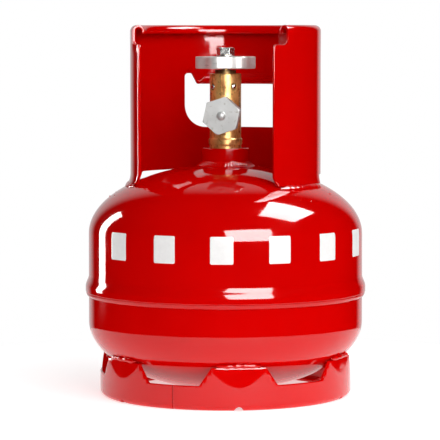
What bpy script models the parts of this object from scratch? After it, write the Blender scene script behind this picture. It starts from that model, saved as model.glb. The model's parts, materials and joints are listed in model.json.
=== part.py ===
"""Small household propane cylinder: welded steel tank, guard collar, foot ring and brass valve.

Metres, +Z up. The origin is on the floor below the middle of the tank. The collar opens
towards -Y and its hand window faces +Y. Azimuths are counted from -Y towards +X.
"""

import math

import bmesh
import bpy
from mathutils import Matrix, Vector

MM = 0.001
GAP = 0.3 * MM              # air between pieces that touch
MERGE = 0.01 * MM

# Tank: two deep-drawn halves, the upper one belled out over the lower one
TANK_RADIUS = 111 * MM
SHELL_WALL = 2.3 * MM
HEAD_HEIGHT = 55.5 * MM     # height of each half-ellipsoid head
SHELL_STRAIGHT = 71 * MM    # between the centres of the two heads
FLOOR_CLEARANCE = 4.5 * MM  # below the lower head
SEAM_HEIGHT = 24 * MM       # bell's lower edge above the lower head's centre
BELL_LAP = 5.5 * MM         # lower half's rim inside the bell
BELL_BLEND = 6.5 * MM       # height over which the bell opens out
GIRTH_WELD_LEG = 3.4 * MM

# Neck boss welded into the crown
BOSS_RADIUS = 19.4 * MM
BOSS_RISE = 13.5 * MM
SPIGOT_RADIUS = 15 * MM
SPIGOT_DEPTH = 8 * MM
NECK_WELD_HEIGHT = 3.8 * MM
NECK_WELD_LEG = 4.8 * MM

# Guard collar: one pierced blank, rolled round, with a curled rim and a hemmed hand window
COLLAR_RADIUS = 77 * MM
COLLAR_WALL = 2.5 * MM
COLLAR_RISE = 112.5 * MM    # above the crown
MOUTH_HALF_ANGLE = math.radians(47)
RIM_BEND = 5 * MM           # outer radius of the curled rim
RIM_LEG = 2 * MM            # straight end of the curl
NOTCH_ANGLE = math.radians(10)
NOTCH_DEPTH = 15.5 * MM
COLLAR_DRAIN = 8 * MM       # collar's lower edge above the dome
FOOT_BEND = 20 * MM
FOOT_FLARE = math.radians(25)
FOOT_SPANS = ((math.radians(50), math.radians(94)), (math.radians(135), math.radians(160)))
WINDOW_HALF_ANGLE = math.radians(44.5)
WINDOW_SILL = 27.5 * MM     # above the crown
WINDOW_HEIGHT = 36 * MM
WINDOW_CORNER = 19 * MM
HEM_BEND = 3 * MM
HEM_LEG = 3 * MM
RELIEF_WIDTH = 6.5 * MM
RELIEF_RISE = 9 * MM        # above the hemmed edge
COLLAR_WELD_LEG = 3.6 * MM

# Foot ring: a strip with six ventilation windows and an inward bottom flange
FOOT_INSET = 9 * MM         # foot ring's outside, in from the tank's
FOOT_WALL = 2.5 * MM
FOOT_WINDOWS = 6
FOOT_WINDOW_AZIMUTH = math.radians(-6.5)
FOOT_WINDOW_SILL = 19.4 * MM
FOOT_WINDOW_BASE = 43 * MM
FOOT_WINDOW_FLARE = 0.68    # sideways run of the slanted window ends for each unit of height
FLANGE_BEND = 4.5 * MM      # outer radius
FLANGE_LEG = 6 * MM
DRAIN_WIDTH = 7 * MM
DRAIN_TOP = 3.4 * MM
SEAM_GAP = 0.5 * MM
CREASE_HEIGHT = 15.6 * MM   # where the middle of a land starts to lean to the tank
CREASE_LEAN = 1.1 * MM
FOOT_WELD_LEG = 2.6 * MM
FOOT_WELD_REACH = math.radians(10)

# Valve body
OUTLET_AZIMUTH = math.radians(12.5)
BODY_RADIUS = 12.7 * MM
BODY_RISE = 60 * MM         # top of the brass body above the boss
BODY_RING_PROUD = 0.9 * MM
BODY_RING_FOOT = 3 * MM     # ring's lower edge above the boss
BODY_RING_HEIGHT = 4 * MM
SHANK_RADIUS = 13 * MM      # taper thread's large end
SHANK_TAPER = 0.045         # radius lost for each unit of depth
SHANK_DEPTH = 22 * MM
INLET_RADIUS = 4 * MM
SEAT_RISE = 22 * MM         # seat lip above the boss
SEAT_LIP = 1.4 * MM
CHAMBER_RADIUS = 8 * MM
CHAMBER_TOP = 17 * MM       # below the body's top
BODY_WALL = 2.7 * MM        # round the bonnet
BONNET_HUB = 8.5 * MM
BONNET_HUB_RISE = 2.9 * MM

# Outlet and its blanking cap, measured along the outlet from the valve's axis
OUTLET_RISE = 27 * MM       # above the boss
OUTLET_THREAD_RADIUS = 10.9 * MM
OUTLET_SHOULDER = 1.3 * MM  # step up from the thread
OUTLET_SHOULDER_END = 21 * MM
OUTLET_FACE = 34 * MM
OUTLET_BORE = 4 * MM
GASKET_THICKNESS = 1.5 * MM
GASKET_HOLE = 5 * MM
CAP_WALL = 2.3 * MM         # at the middle of a flat
CAP_LENGTH = 16.5 * MM
CAP_END_WALL = 3.9 * MM
CAP_FACE_MARGIN = 1.1 * MM  # the turned face is this much wider than the flats
CAP_CORNER_ANGLE = math.radians(18)
NUB_RADIUS = 3.3 * MM
NUB_RISE = 2.6 * MM

# Bonnet locking balls
BALL_RADIUS = 2.5 * MM
BALL_PROUD = 0.6 * MM
BALL_DEPTH = 10.5 * MM      # below the body's top
BALL_FROM_OUTLET = math.radians(-7)
BALLS = 4

# Spindle and plug
SPINDLE_RADIUS = 4 * MM
SQUARE_SIDE = 5.6 * MM
FLANGE_RADIUS = 7 * MM
FLANGE_THICKNESS = 2 * MM
THRUST_THICKNESS = 0.7 * MM
SPINDLE_RING_SECTION = 0.9 * MM
SPINDLE_RING_DEPTH = 3.3 * MM   # below the body's top
BLADE_THICKNESS = 3 * MM
BLADE_LENGTH = 7.3 * MM
PLUG_LIFT = 3 * MM
PLUG_THREAD_LENGTH = 8.5 * MM
PLUG_STEM_RADIUS = 6.8 * MM
SEAT_DISC_RADIUS = 5.7 * MM
SEAT_DISC_THICKNESS = 2 * MM
SEAT_DISC_HELD = 1.2 * MM   # depth of the plug's recess

# Handwheel, washer and nut
WHEEL_RADIUS = 24.5 * MM
WHEEL_LOBES = 6
WHEEL_SCALLOP = 3.4 * MM
WHEEL_LOBE_ANGLE = math.radians(13)     # from the spindle's square to a lobe
WHEEL_HEIGHT = 9.8 * MM
WHEEL_EDGE = 0.9 * MM
WHEEL_HUB = 8.2 * MM
WHEEL_WELL = 17 * MM
WHEEL_WELL_DEPTH = 6 * MM
WHEEL_DISH_DEPTH = 0.9 * MM
WHEEL_CLEARANCE = 1 * MM    # above the bonnet
WASHER_RADIUS = 7.6 * MM
WASHER_THICKNESS = 0.8 * MM
NUT_ACROSS_FLATS = 13 * MM
NUT_HEIGHT = 5.8 * MM
NUT_FACE_RADIUS = 6.1 * MM
SPINDLE_SUNK = 0.5 * MM     # spindle's end below the nut's top

# Facets
TANK_STEPS = 44
VALVE_STEPS = 20
SMALL_STEPS = 16
ROLL_STEP = 2 * math.pi / TANK_STEPS
HEAD_STEPS = 8
BELL_STEPS = 3
PIN_STEPS = 10
BALL_RINGS = 6
ARC_STEP = math.radians(22.5)
SMOOTH_ANGLE = math.radians(32)

# Levels that follow from the sizes above
LOWER_HEAD_Z = FLOOR_CLEARANCE + HEAD_HEIGHT
UPPER_HEAD_Z = LOWER_HEAD_Z + SHELL_STRAIGHT
CROWN_Z = UPPER_HEAD_Z + HEAD_HEIGHT
SEAM_Z = LOWER_HEAD_Z + SEAM_HEIGHT
BELL_RADIUS = TANK_RADIUS + GAP + SHELL_WALL
BOSS_TOP = CROWN_Z + BOSS_RISE
BODY_TOP = BOSS_TOP + BODY_RISE
OUTLET_Z = BOSS_TOP + OUTLET_RISE
SEAT_Z = BOSS_TOP + SEAT_RISE
FOOT_RADIUS = TANK_RADIUS - FOOT_INSET
BODY_RING_RADIUS = BODY_RADIUS + BODY_RING_PROUD
BONNET_BORE = BODY_RADIUS - BODY_WALL
OUTLET_SHOULDER_RADIUS = OUTLET_THREAD_RADIUS + OUTLET_SHOULDER
CAP_ACROSS_FLATS = 2 * (OUTLET_THREAD_RADIUS + GAP + CAP_WALL)
CAP_FACE_RADIUS = CAP_ACROSS_FLATS / 2 + CAP_FACE_MARGIN


def dome_height(radius):
    """Height of the tank's outside above a head's centre, at a radius."""
    return HEAD_HEIGHT * math.sqrt(1 - (radius / TANK_RADIUS) ** 2)


def top_dome(radius):
    return UPPER_HEAD_Z + dome_height(radius)


def bottom_dome(radius):
    return LOWER_HEAD_Z - dome_height(radius)


def facet_depth(radius):
    """How far the middle of a flat facet lies inside the circle."""
    return radius * (1 - math.cos(ROLL_STEP / 2))


def below_bottom_dome(radius):
    """Height that stays a gap clear of the lower head all along a facet."""
    return bottom_dome(radius - facet_depth(radius)) - GAP


def around(azimuth, radius, height):
    return Vector((radius * math.sin(azimuth), -radius * math.cos(azimuth), height))


# Scene, materials and objects

for old in list(bpy.data.objects):
    bpy.data.objects.remove(old)

PARTS = bpy.data.collections.new("propane_cylinder")
CUTTERS = bpy.data.collections.new("cutters")
for group in (PARTS, CUTTERS):
    bpy.context.scene.collection.children.link(group)


def finish(name, colour, roughness, metallic):
    material = bpy.data.materials.new(name)
    material.use_nodes = True
    shader = material.node_tree.nodes["Principled BSDF"]
    shader.inputs["Base Color"].default_value = (*colour, 1)
    shader.inputs["Roughness"].default_value = roughness
    shader.inputs["Metallic"].default_value = metallic
    return material


RED_ENAMEL = finish("red_enamel", (0.62, 0.01, 0.008), 0.2, 0)
BRASS = finish("brass", (0.60, 0.36, 0.13), 0.35, 1)
DARK_BRASS = finish("dark_brass", (0.25, 0.17, 0.08), 0.5, 1)
STEEL = finish("bright_steel", (0.56, 0.56, 0.55), 0.25, 1)
CAST_ALUMINIUM = finish("cast_aluminium", (0.72, 0.72, 0.71), 0.35, 1)
PLATED_CAP = finish("plated_cap", (0.62, 0.63, 0.63), 0.4, 1)
RUBBER = finish("black_rubber", (0.03, 0.03, 0.03), 0.7, 0)
NYLON = finish("nylon", (0.85, 0.82, 0.72), 0.5, 0)


def add(name, mesh, material=None, parent=None):
    """An object of the part, or a cutter when it has no material."""
    thing = bpy.data.objects.new(name, mesh)
    if material:
        mesh.materials.append(material)
        PARTS.objects.link(thing)
    else:
        CUTTERS.objects.link(thing)
        thing.hide_render = True
        thing.display_type = "WIRE"
    thing.parent = parent
    return thing


def mesh_from(bm, name):
    mesh = bpy.data.meshes.new(name)
    bm.to_mesh(mesh)
    bm.free()
    return mesh


def smooth(mesh):
    mesh.shade_smooth()
    mesh.set_sharp_from_angle(angle=SMOOTH_ANGLE)


def turned(name, points, material, steps, closed=False, parent=None):
    """A lathe-turned shape. The (radius, height) points run down its outer side."""
    bm = bmesh.new()
    verts = [bm.verts.new((radius, 0, height)) for radius, height in points]
    for start, end in zip(verts, verts[1:]):
        bm.edges.new((start, end))
    if closed:
        bm.edges.new((verts[-1], verts[0]))
    thing = add(name, mesh_from(bm, name), material, parent)
    screw = thing.modifiers.new("turn", "SCREW")
    screw.steps = steps
    screw.render_steps = steps
    screw.use_merge_vertices = True
    screw.merge_threshold = MERGE
    screw.use_smooth_shade = True
    return thing


def thicken(thing, wall):
    """Gives an open surface a wall on its inner side."""
    solidify = thing.modifiers.new("wall", "SOLIDIFY")
    solidify.thickness = wall
    solidify.offset = -1
    solidify.use_even_offset = True


def shape_with(thing, tool, operation="DIFFERENCE"):
    boolean = thing.modifiers.new(tool.name, "BOOLEAN")
    boolean.operation = operation
    boolean.solver = "EXACT"
    boolean.object = tool


def block(name, low, high, mirror=None, parent=None):
    """A box-shaped cutter between two corners, repeated on the other side of x=0 or y=0."""
    bm = bmesh.new()
    low = Vector(low)
    high = Vector(high)
    place = Matrix.Translation((low + high) / 2) @ Matrix.Diagonal((*(high - low), 1))
    bmesh.ops.create_cube(bm, size=1, matrix=place)
    if mirror:
        turn = Matrix.Rotation(math.pi, 4, "Z")
        bmesh.ops.create_cube(bm, size=1, matrix=turn @ place)
    return add(name, mesh_from(bm, name), parent=parent)


def spun(name, section, start, end, material):
    """A closed (radius, height) section swept about the tank's axis between two azimuths."""
    bm = bmesh.new()
    verts = [bm.verts.new(around(start, radius, height)) for radius, height in section]
    face = bm.faces.new(verts)
    steps = math.ceil((end - start) / ROLL_STEP)
    bmesh.ops.spin(bm, geom=[face, *face.edges, *face.verts], axis=(0, 0, 1), cent=(0, 0, 0),
                   angle=end - start, steps=steps)
    bmesh.ops.recalc_face_normals(bm, faces=bm.faces)
    mesh = mesh_from(bm, name)
    smooth(mesh)
    return add(name, mesh, material)


# Sheet metal: a flat blank with coordinates u along it and v up it, bent and then rolled

def rounded(corners):
    """Outline through (u, v, radius) corners, each with its round."""
    outline = []
    for index, (u, v, radius) in enumerate(corners):
        corner = Vector((u, v))
        if radius == 0:
            outline.append(corner)
            continue
        before = Vector(corners[index - 1][:2]) - corner
        after = Vector(corners[(index + 1) % len(corners)][:2]) - corner
        before.normalize()
        after.normalize()
        half = before.angle(after) / 2
        middle = corner + (before + after).normalized() * radius / math.sin(half)
        start = corner + before * radius / math.tan(half) - middle
        turn = start.angle_signed(corner + after * radius / math.tan(half) - middle)
        pieces = max(2, math.ceil(abs(turn) / ARC_STEP))
        for step in range(pieces + 1):
            swing = Matrix.Rotation(-turn * step / pieces, 2)
            outline.append(middle + swing @ start)
    return outline


def plate(name, outlines, thickness):
    """Flat sheet filled between outlines, as an editable mesh with welded edges."""
    curve = bpy.data.curves.new(name, "CURVE")
    curve.dimensions = "2D"
    curve.fill_mode = "BOTH"
    curve.extrude = thickness / 2
    for outline in outlines:
        spline = curve.splines.new("POLY")
        spline.points.add(len(outline) - 1)
        for point, (u, v) in zip(spline.points, outline):
            point.co = (u, v, 0, 1)
        spline.use_cyclic_u = True
    flat = bpy.data.objects.new(name, curve)
    CUTTERS.objects.link(flat)
    evaluated = flat.evaluated_get(bpy.context.evaluated_depsgraph_get())
    mesh = bpy.data.meshes.new_from_object(evaluated)
    bm = bmesh.new()
    bm.from_mesh(mesh)
    bmesh.ops.remove_doubles(bm, verts=bm.verts, dist=MERGE)
    bmesh.ops.dissolve_limit(bm, angle_limit=SMOOTH_ANGLE / 100, verts=bm.verts, edges=bm.edges)
    bmesh.ops.recalc_face_normals(bm, faces=bm.faces)
    bpy.data.objects.remove(flat)
    return bm


def score(bm, axis, places, reach=math.inf):
    """Cuts the sheet along lines so that it can bend there, within a reach of its middle."""
    normal = Vector((0, 0, 0))
    normal[axis] = 1
    for place in places:
        faces = [face for face in bm.faces if abs(face.calc_center_median().x) < reach]
        edges = {edge for face in faces for edge in face.edges}
        verts = {vert for face in faces for vert in face.verts}
        bmesh.ops.bisect_plane(bm, geom=[*verts, *edges, *faces], dist=2 * MERGE,
                               plane_co=normal * place, plane_no=normal)


def folded(edge, length, radius, turn, rise, side):
    """Point and outward normal at a length past a fold line.

    rise is 1 above the line and -1 below it, and side is 1 outwards and -1 inwards.
    """
    angle = min(length / radius, turn)
    rest = length - angle * radius
    across = radius * (1 - math.cos(angle)) + rest * math.sin(angle)
    along = radius * math.sin(angle) + rest * math.cos(angle)
    point = Vector((edge[0] + side * across, edge[1] + rise * along))
    return point, Vector((math.cos(angle), -side * rise * math.sin(angle)))


def rolled(bm, name, section, azimuth, material):
    """Rolls the scored blank: section(u, v) gives the sheet's middle and its normal."""
    bmesh.ops.triangulate(bm, faces=bm.faces)
    for vert in bm.verts:
        u, v, depth = vert.co
        point, normal = section(u, v)
        place = point + normal * depth
        vert.co = around(azimuth(u), place[0], place[1])
    mesh = mesh_from(bm, name)
    smooth(mesh)
    return add(name, mesh, material)


def arc_places(start, length, count):
    """Where a bend of this length begins, turns and ends."""
    return [start + length * step / count for step in range(count + 1)]


# Tank

def ellipse_points(first, last, count, side, centre):
    """(radius, height) points on a head, between two angles from the axis."""
    angles = [first + (last - first) * step / count for step in range(count + 1)]
    return [(TANK_RADIUS * math.sin(a), centre + side * HEAD_HEIGHT * math.cos(a)) for a in angles]


def make_upper_shell():
    hole = math.asin((SPIGOT_RADIUS + GAP) / TANK_RADIUS)
    points = ellipse_points(hole, math.pi / 2, HEAD_STEPS, 1, UPPER_HEAD_Z)
    blend_foot = SEAM_Z + BELL_LAP
    blend_top = blend_foot + BELL_BLEND
    for step in range(BELL_STEPS + 1):
        share = step / BELL_STEPS
        swell = (1 - math.cos(math.pi * share)) / 2
        radius = TANK_RADIUS + (BELL_RADIUS - TANK_RADIUS) * swell
        points.append((radius, blend_top + (blend_foot - blend_top) * share))
    points.append((BELL_RADIUS, SEAM_Z))
    thicken(turned("upper_shell", points, RED_ENAMEL, TANK_STEPS), SHELL_WALL)


def make_lower_shell():
    points = [(TANK_RADIUS, SEAM_Z + BELL_LAP - GAP)]
    points += ellipse_points(math.pi / 2, 0, HEAD_STEPS, -1, LOWER_HEAD_Z)
    points[-1] = (0, points[-1][1])
    thicken(turned("lower_shell", points, RED_ENAMEL, TANK_STEPS), SHELL_WALL)


def make_girth_weld():
    inner = TANK_RADIUS + GAP
    top = SEAM_Z - GAP
    crest = top - GIRTH_WELD_LEG * 0.35
    points = [(inner, top), (BELL_RADIUS, top), (BELL_RADIUS - 0.4 * SHELL_WALL, crest),
              (inner + 0.15 * SHELL_WALL, top - GIRTH_WELD_LEG), (inner, top - GIRTH_WELD_LEG)]
    turned("girth_weld", points, RED_ENAMEL, TANK_STEPS, closed=True)


def shank_radius(height):
    """Taper thread's radius at a height."""
    return SHANK_RADIUS - SHANK_TAPER * (BOSS_TOP - height)


def make_neck():
    seat = top_dome(SPIGOT_RADIUS + GAP) + GAP
    spigot_end = CROWN_Z - SPIGOT_DEPTH
    edge = 1 * MM
    boss = [(shank_radius(BOSS_TOP) + GAP, BOSS_TOP), (BOSS_RADIUS - edge, BOSS_TOP),
            (BOSS_RADIUS, BOSS_TOP - edge), (BOSS_RADIUS, seat), (SPIGOT_RADIUS, seat),
            (SPIGOT_RADIUS, spigot_end), (shank_radius(spigot_end) + GAP, spigot_end)]
    turned("neck_boss", boss, RED_ENAMEL, VALVE_STEPS, closed=True)
    inner = BOSS_RADIUS + GAP
    outer = inner + NECK_WELD_LEG
    middle = (inner + outer) / 2
    foot = top_dome(inner) + GAP
    weld = [(inner, foot + NECK_WELD_HEIGHT), (inner + 0.3 * NECK_WELD_LEG, foot + 0.75 * NECK_WELD_HEIGHT),
            (middle, foot + 0.35 * NECK_WELD_HEIGHT), (outer, top_dome(outer) + GAP),
            (middle, top_dome(middle) + GAP), (inner, foot)]
    turned("neck_weld", weld, RED_ENAMEL, VALVE_STEPS, closed=True)


# Guard collar

COLLAR_MIDDLE = COLLAR_RADIUS - COLLAR_WALL / 2
COLLAR_TOP = CROWN_Z + COLLAR_RISE
COLLAR_EDGE = top_dome(COLLAR_RADIUS) + COLLAR_DRAIN
RIM_LINE = COLLAR_TOP - RIM_BEND
RIM_MIDDLE = RIM_BEND - COLLAR_WALL / 2
RIM_LENGTH = math.pi * RIM_MIDDLE
WINDOW_LOW = CROWN_Z + WINDOW_SILL
WINDOW_TOP = WINDOW_LOW + WINDOW_HEIGHT
HEM_LINE = WINDOW_TOP + HEM_BEND
HEM_MIDDLE = HEM_BEND - COLLAR_WALL / 2
HEM_LENGTH = math.pi * HEM_MIDDLE
WINDOW_END = COLLAR_MIDDLE * WINDOW_HALF_ANGLE
FLARE_LINE = COLLAR_EDGE + 1 * MM


def collar_foot_end(reach):
    """Inner and outer lower corners of a collar foot of this length."""
    point, normal = folded((COLLAR_MIDDLE, FLARE_LINE), reach, FOOT_BEND, FOOT_FLARE, -1, 1)
    return point - normal * COLLAR_WALL / 2, point + normal * COLLAR_WALL / 2


def collar_foot_reach():
    """Longest foot that stays a gap clear of the dome."""
    reach = 0
    step = 0.1 * MM
    while all(corner[1] > top_dome(corner[0]) + GAP for corner in collar_foot_end(reach + step)):
        reach += step
    return reach


FOOT_REACH = collar_foot_reach()


def collar_foot_skin(reach):
    """A point clear of the foot's outside by a gap and the depth of a facet."""
    point, normal = folded((COLLAR_MIDDLE, FLARE_LINE), reach, FOOT_BEND, FOOT_FLARE, -1, 1)
    return point + normal * (COLLAR_WALL / 2 + GAP + facet_depth(COLLAR_RADIUS))


def collar_section(u, v):
    if v > RIM_LINE:
        return folded((COLLAR_MIDDLE, RIM_LINE), v - RIM_LINE, RIM_MIDDLE, math.pi, 1, -1)
    if v < FLARE_LINE:
        return folded((COLLAR_MIDDLE, FLARE_LINE), FLARE_LINE - v, FOOT_BEND, FOOT_FLARE, -1, 1)
    if abs(u) < WINDOW_END - RELIEF_WIDTH / 2 and HEM_LINE - HEM_LENGTH - HEM_LEG - MERGE < v < HEM_LINE:
        return folded((COLLAR_MIDDLE, HEM_LINE), HEM_LINE - v, HEM_MIDDLE, math.pi, -1, -1)
    return Vector((COLLAR_MIDDLE, v)), Vector((1, 0))


def mirrored(corners):
    """Adds the other half of an outline that is symmetric about u=0."""
    return corners + [(-u, v, radius) for u, v, radius in reversed(corners)]


def collar_outline():
    end = COLLAR_MIDDLE * (math.pi - MOUTH_HALF_ANGLE)
    notch = COLLAR_MIDDLE * (math.pi - MOUTH_HALF_ANGLE - NOTCH_ANGLE)
    notch_z = COLLAR_TOP - NOTCH_DEPTH
    foot_z = FLARE_LINE - FOOT_REACH
    corners = [(notch, RIM_LINE + RIM_LENGTH + RIM_LEG, 0), (notch, notch_z, 3.5 * MM),
               (end, notch_z, 3 * MM), (end, COLLAR_EDGE, 1 * MM)]
    slope = 3 * MM
    for near, far in FOOT_SPANS:
        front = COLLAR_MIDDLE * (math.pi - near)
        back = COLLAR_MIDDLE * (math.pi - far)
        if near > FOOT_SPANS[0][0]:
            corners.append((front + slope, COLLAR_EDGE, 2 * MM))
        corners += [(front, foot_z, 1.5 * MM), (back, foot_z, 1.5 * MM), (back - slope, COLLAR_EDGE, 2 * MM)]
    return rounded(mirrored(corners))


def window_outline():
    slot = WINDOW_END - RELIEF_WIDTH
    slot_top = WINDOW_TOP + RELIEF_RISE
    flap = HEM_LINE - HEM_LENGTH - HEM_LEG
    taper = 5 * MM
    corners = [(slot - 2 * taper, flap, 1 * MM), (slot - taper, WINDOW_TOP, 0),
               (slot, slot_top, 0.3 * RELIEF_WIDTH), (WINDOW_END, slot_top, 0.45 * RELIEF_WIDTH),
               (WINDOW_END, WINDOW_LOW, WINDOW_CORNER)]
    return rounded(mirrored(corners))


def make_collar():
    bm = plate("collar", [collar_outline(), window_outline()], COLLAR_WALL)
    stations = int((math.pi - MOUTH_HALF_ANGLE) / ROLL_STEP)
    score(bm, 0, [COLLAR_MIDDLE * ROLL_STEP * step for step in range(-stations, stations + 1)])
    score(bm, 1, arc_places(RIM_LINE, RIM_LENGTH, 6))
    score(bm, 1, arc_places(FLARE_LINE, -FOOT_REACH, 2)[:-1])
    score(bm, 1, arc_places(HEM_LINE, -HEM_LENGTH, 4), WINDOW_END - RELIEF_WIDTH / 2)
    rolled(bm, "collar", collar_section, lambda u: math.pi + u / COLLAR_MIDDLE, RED_ENAMEL)


def make_collar_welds():
    """Fillets between the outside of each collar foot and the dome."""
    start = collar_foot_skin(FOOT_REACH)
    crest = collar_foot_skin(FOOT_REACH - COLLAR_WELD_LEG * 0.8)
    bulge = Vector((start[0] + COLLAR_WELD_LEG * 0.55, top_dome(start[0]) + COLLAR_WELD_LEG * 0.5))
    toe = start[0] + COLLAR_WELD_LEG
    section = [start, crest, bulge, (toe, top_dome(toe) + GAP), (start[0], top_dome(start[0]) + GAP)]
    number = 1
    inset = math.radians(2)
    for side in (1, -1):
        for near, far in FOOT_SPANS:
            span = sorted((side * (near + inset), side * (far - inset)))
            spun(f"collar_weld_{number}", section, *span, RED_ENAMEL)
            number += 1


# Foot ring

FOOT_MIDDLE = FOOT_RADIUS - FOOT_WALL / 2
FLANGE_MIDDLE = FLANGE_BEND - FOOT_WALL / 2
FLANGE_LENGTH = math.pi / 2 * FLANGE_MIDDLE
LAND_INNER = FOOT_RADIUS - FOOT_WALL - CREASE_LEAN
LAND_TOP = below_bottom_dome(LAND_INNER)
FOOT_PITCH = 2 * math.pi / FOOT_WINDOWS
FOOT_TURN = math.pi * FOOT_MIDDLE       # half the strip's length
LAND_PITCH = FOOT_PITCH * FOOT_MIDDLE
FOOT_WINDOW_TOP = FOOT_WINDOW_BASE + 2 * FOOT_WINDOW_FLARE * (LAND_TOP - FOOT_WINDOW_SILL)


def foot_outline():
    left = -FOOT_TURN + SEAM_GAP / 2
    right = -left
    bottom = FLANGE_BEND - FLANGE_LENGTH - FLANGE_LEG
    half_base = FOOT_WINDOW_BASE / 2
    half_top = FOOT_WINDOW_TOP / 2
    corners = [(left, FOOT_WINDOW_SILL, 0)]
    for window in range(FOOT_WINDOWS):
        centre = -FOOT_TURN + window * LAND_PITCH
        following = centre + LAND_PITCH
        if window:
            corners.append((centre - half_base, FOOT_WINDOW_SILL, 2 * MM))
        corners += [(centre + half_base, FOOT_WINDOW_SILL, 2 * MM), (centre + half_top, LAND_TOP, 1 * MM),
                    (following - half_top, LAND_TOP, 1 * MM)]
    corners += [(right - half_base, FOOT_WINDOW_SILL, 2 * MM), (right, FOOT_WINDOW_SILL, 0),
                (right, bottom, 0)]
    half_drain = DRAIN_WIDTH / 2
    round_end = half_drain - MERGE
    for land in reversed(range(FOOT_WINDOWS)):
        centre = -FOOT_TURN + (land + 0.5) * LAND_PITCH
        corners += [(centre + half_drain, bottom, 0), (centre + half_drain, DRAIN_TOP, round_end),
                    (centre - half_drain, DRAIN_TOP, round_end), (centre - half_drain, bottom, 0)]
    corners.append((left, bottom, 0))
    return rounded(corners)


def foot_section(u, v):
    if v < FLANGE_BEND:
        return folded((FOOT_MIDDLE, FLANGE_BEND), FLANGE_BEND - v, FLANGE_MIDDLE, math.pi / 2, -1, -1)
    off_land = abs((u + FOOT_TURN) % LAND_PITCH - LAND_PITCH / 2)
    half_land = (LAND_PITCH - FOOT_WINDOW_TOP) / 2
    crease = CREASE_HEIGHT + (LAND_TOP - CREASE_HEIGHT) * (off_land / half_land) ** 2
    lean = CREASE_LEAN * max(0, v - crease) / (LAND_TOP - CREASE_HEIGHT)
    return Vector((FOOT_MIDDLE - lean, v)), Vector((1, 0))


def make_foot_ring():
    bm = plate("foot_ring", [foot_outline()], FOOT_WALL)
    stations = round(math.pi / ROLL_STEP)
    score(bm, 0, [FOOT_MIDDLE * ROLL_STEP * step for step in range(1 - stations, stations)])
    score(bm, 1, arc_places(FLANGE_BEND, -FLANGE_LENGTH, 3))
    score(bm, 1, [CREASE_HEIGHT, (CREASE_HEIGHT + LAND_TOP) / 2])
    start = FOOT_WINDOW_AZIMUTH + math.pi
    rolled(bm, "foot_ring", foot_section, lambda u: start + u / FOOT_MIDDLE, RED_ENAMEL)


def make_foot_welds():
    """Fillets in the wedge between the top of each land and the lower head."""
    base = LAND_TOP + GAP
    edge = FOOT_RADIUS - CREASE_LEAN
    heel = edge - 0.3 * FOOT_WALL
    toe = FOOT_RADIUS + 0.5 * FOOT_WELD_LEG
    section = [(heel, base), (edge + 0.2 * FOOT_WELD_LEG, base),
               (FOOT_RADIUS + 0.1 * FOOT_WELD_LEG, base + 0.5 * FOOT_WELD_LEG),
               (toe, below_bottom_dome(toe)), (edge, below_bottom_dome(edge)),
               (heel, below_bottom_dome(heel))]
    for land in range(FOOT_WINDOWS):
        centre = FOOT_WINDOW_AZIMUTH + (land + 0.5) * FOOT_PITCH
        spun(f"foot_weld_{land + 1}", section, centre - FOOT_WELD_REACH, centre + FOOT_WELD_REACH, RED_ENAMEL)


# Valve

def empty(name, location=(0, 0, 0), rotation=(0, 0, 0), parent=None):
    thing = bpy.data.objects.new(name, None)
    thing.location = location
    thing.rotation_euler = rotation
    thing.parent = parent
    PARTS.objects.link(thing)
    return thing


VALVE = empty("valve_axis", rotation=(0, 0, OUTLET_AZIMUTH))
OUTLET = empty("outlet_axis", (0, 0, OUTLET_Z), (math.pi / 2, 0, 0), VALVE)     # +Z points out

CHAMBER_ROOF = BODY_TOP - CHAMBER_TOP
CHAMBER_FLOOR = SEAT_Z - 1 * MM
RING_FOOT = BOSS_TOP + BODY_RING_FOOT
RING_TOP = RING_FOOT + BODY_RING_HEIGHT
SHANK_END = BOSS_TOP - SHANK_DEPTH
BALL_Z = BODY_TOP - BALL_DEPTH
BALL_CENTRE = BODY_RADIUS + BALL_PROUD - BALL_RADIUS
BONNET_FOOT = CHAMBER_ROOF + GAP
BONNET_RADIUS = BONNET_BORE - GAP
BONNET_TOP = BODY_TOP + BONNET_HUB_RISE
SPINDLE_BORE = SPINDLE_RADIUS + GAP
FLANGE_LOW = BONNET_FOOT + GAP
FLANGE_HIGH = FLANGE_LOW + FLANGE_THICKNESS
WELL_ROOF = FLANGE_HIGH + GAP + THRUST_THICKNESS + GAP
WHEEL_LOW = BONNET_TOP + WHEEL_CLEARANCE
WHEEL_HIGH = WHEEL_LOW + WHEEL_HEIGHT
WASHER_LOW = WHEEL_HIGH + GAP
NUT_LOW = WASHER_LOW + WASHER_THICKNESS + GAP
SPINDLE_TOP = NUT_LOW + NUT_HEIGHT - SPINDLE_SUNK


def radial_pins(name, radius, inner, outer, height):
    """Cutter: round pins pointing out from the valve's axis, one for each lock ball."""
    bm = bmesh.new()
    for index in range(BALLS):
        azimuth = ball_azimuth(index)
        place = Matrix.Translation(around(azimuth, (inner + outer) / 2, height))
        lean = Matrix.Rotation(azimuth, 4, "Z") @ Matrix.Rotation(math.pi / 2, 4, "X")
        bmesh.ops.create_cone(bm, cap_ends=True, segments=PIN_STEPS, radius1=radius, radius2=radius,
                              depth=outer - inner, matrix=place @ lean)
    return add(name, mesh_from(bm, name), parent=VALVE)


def ball_azimuth(index):
    return BALL_FROM_OUTLET + 2 * math.pi * (index + 0.5) / BALLS


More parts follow.
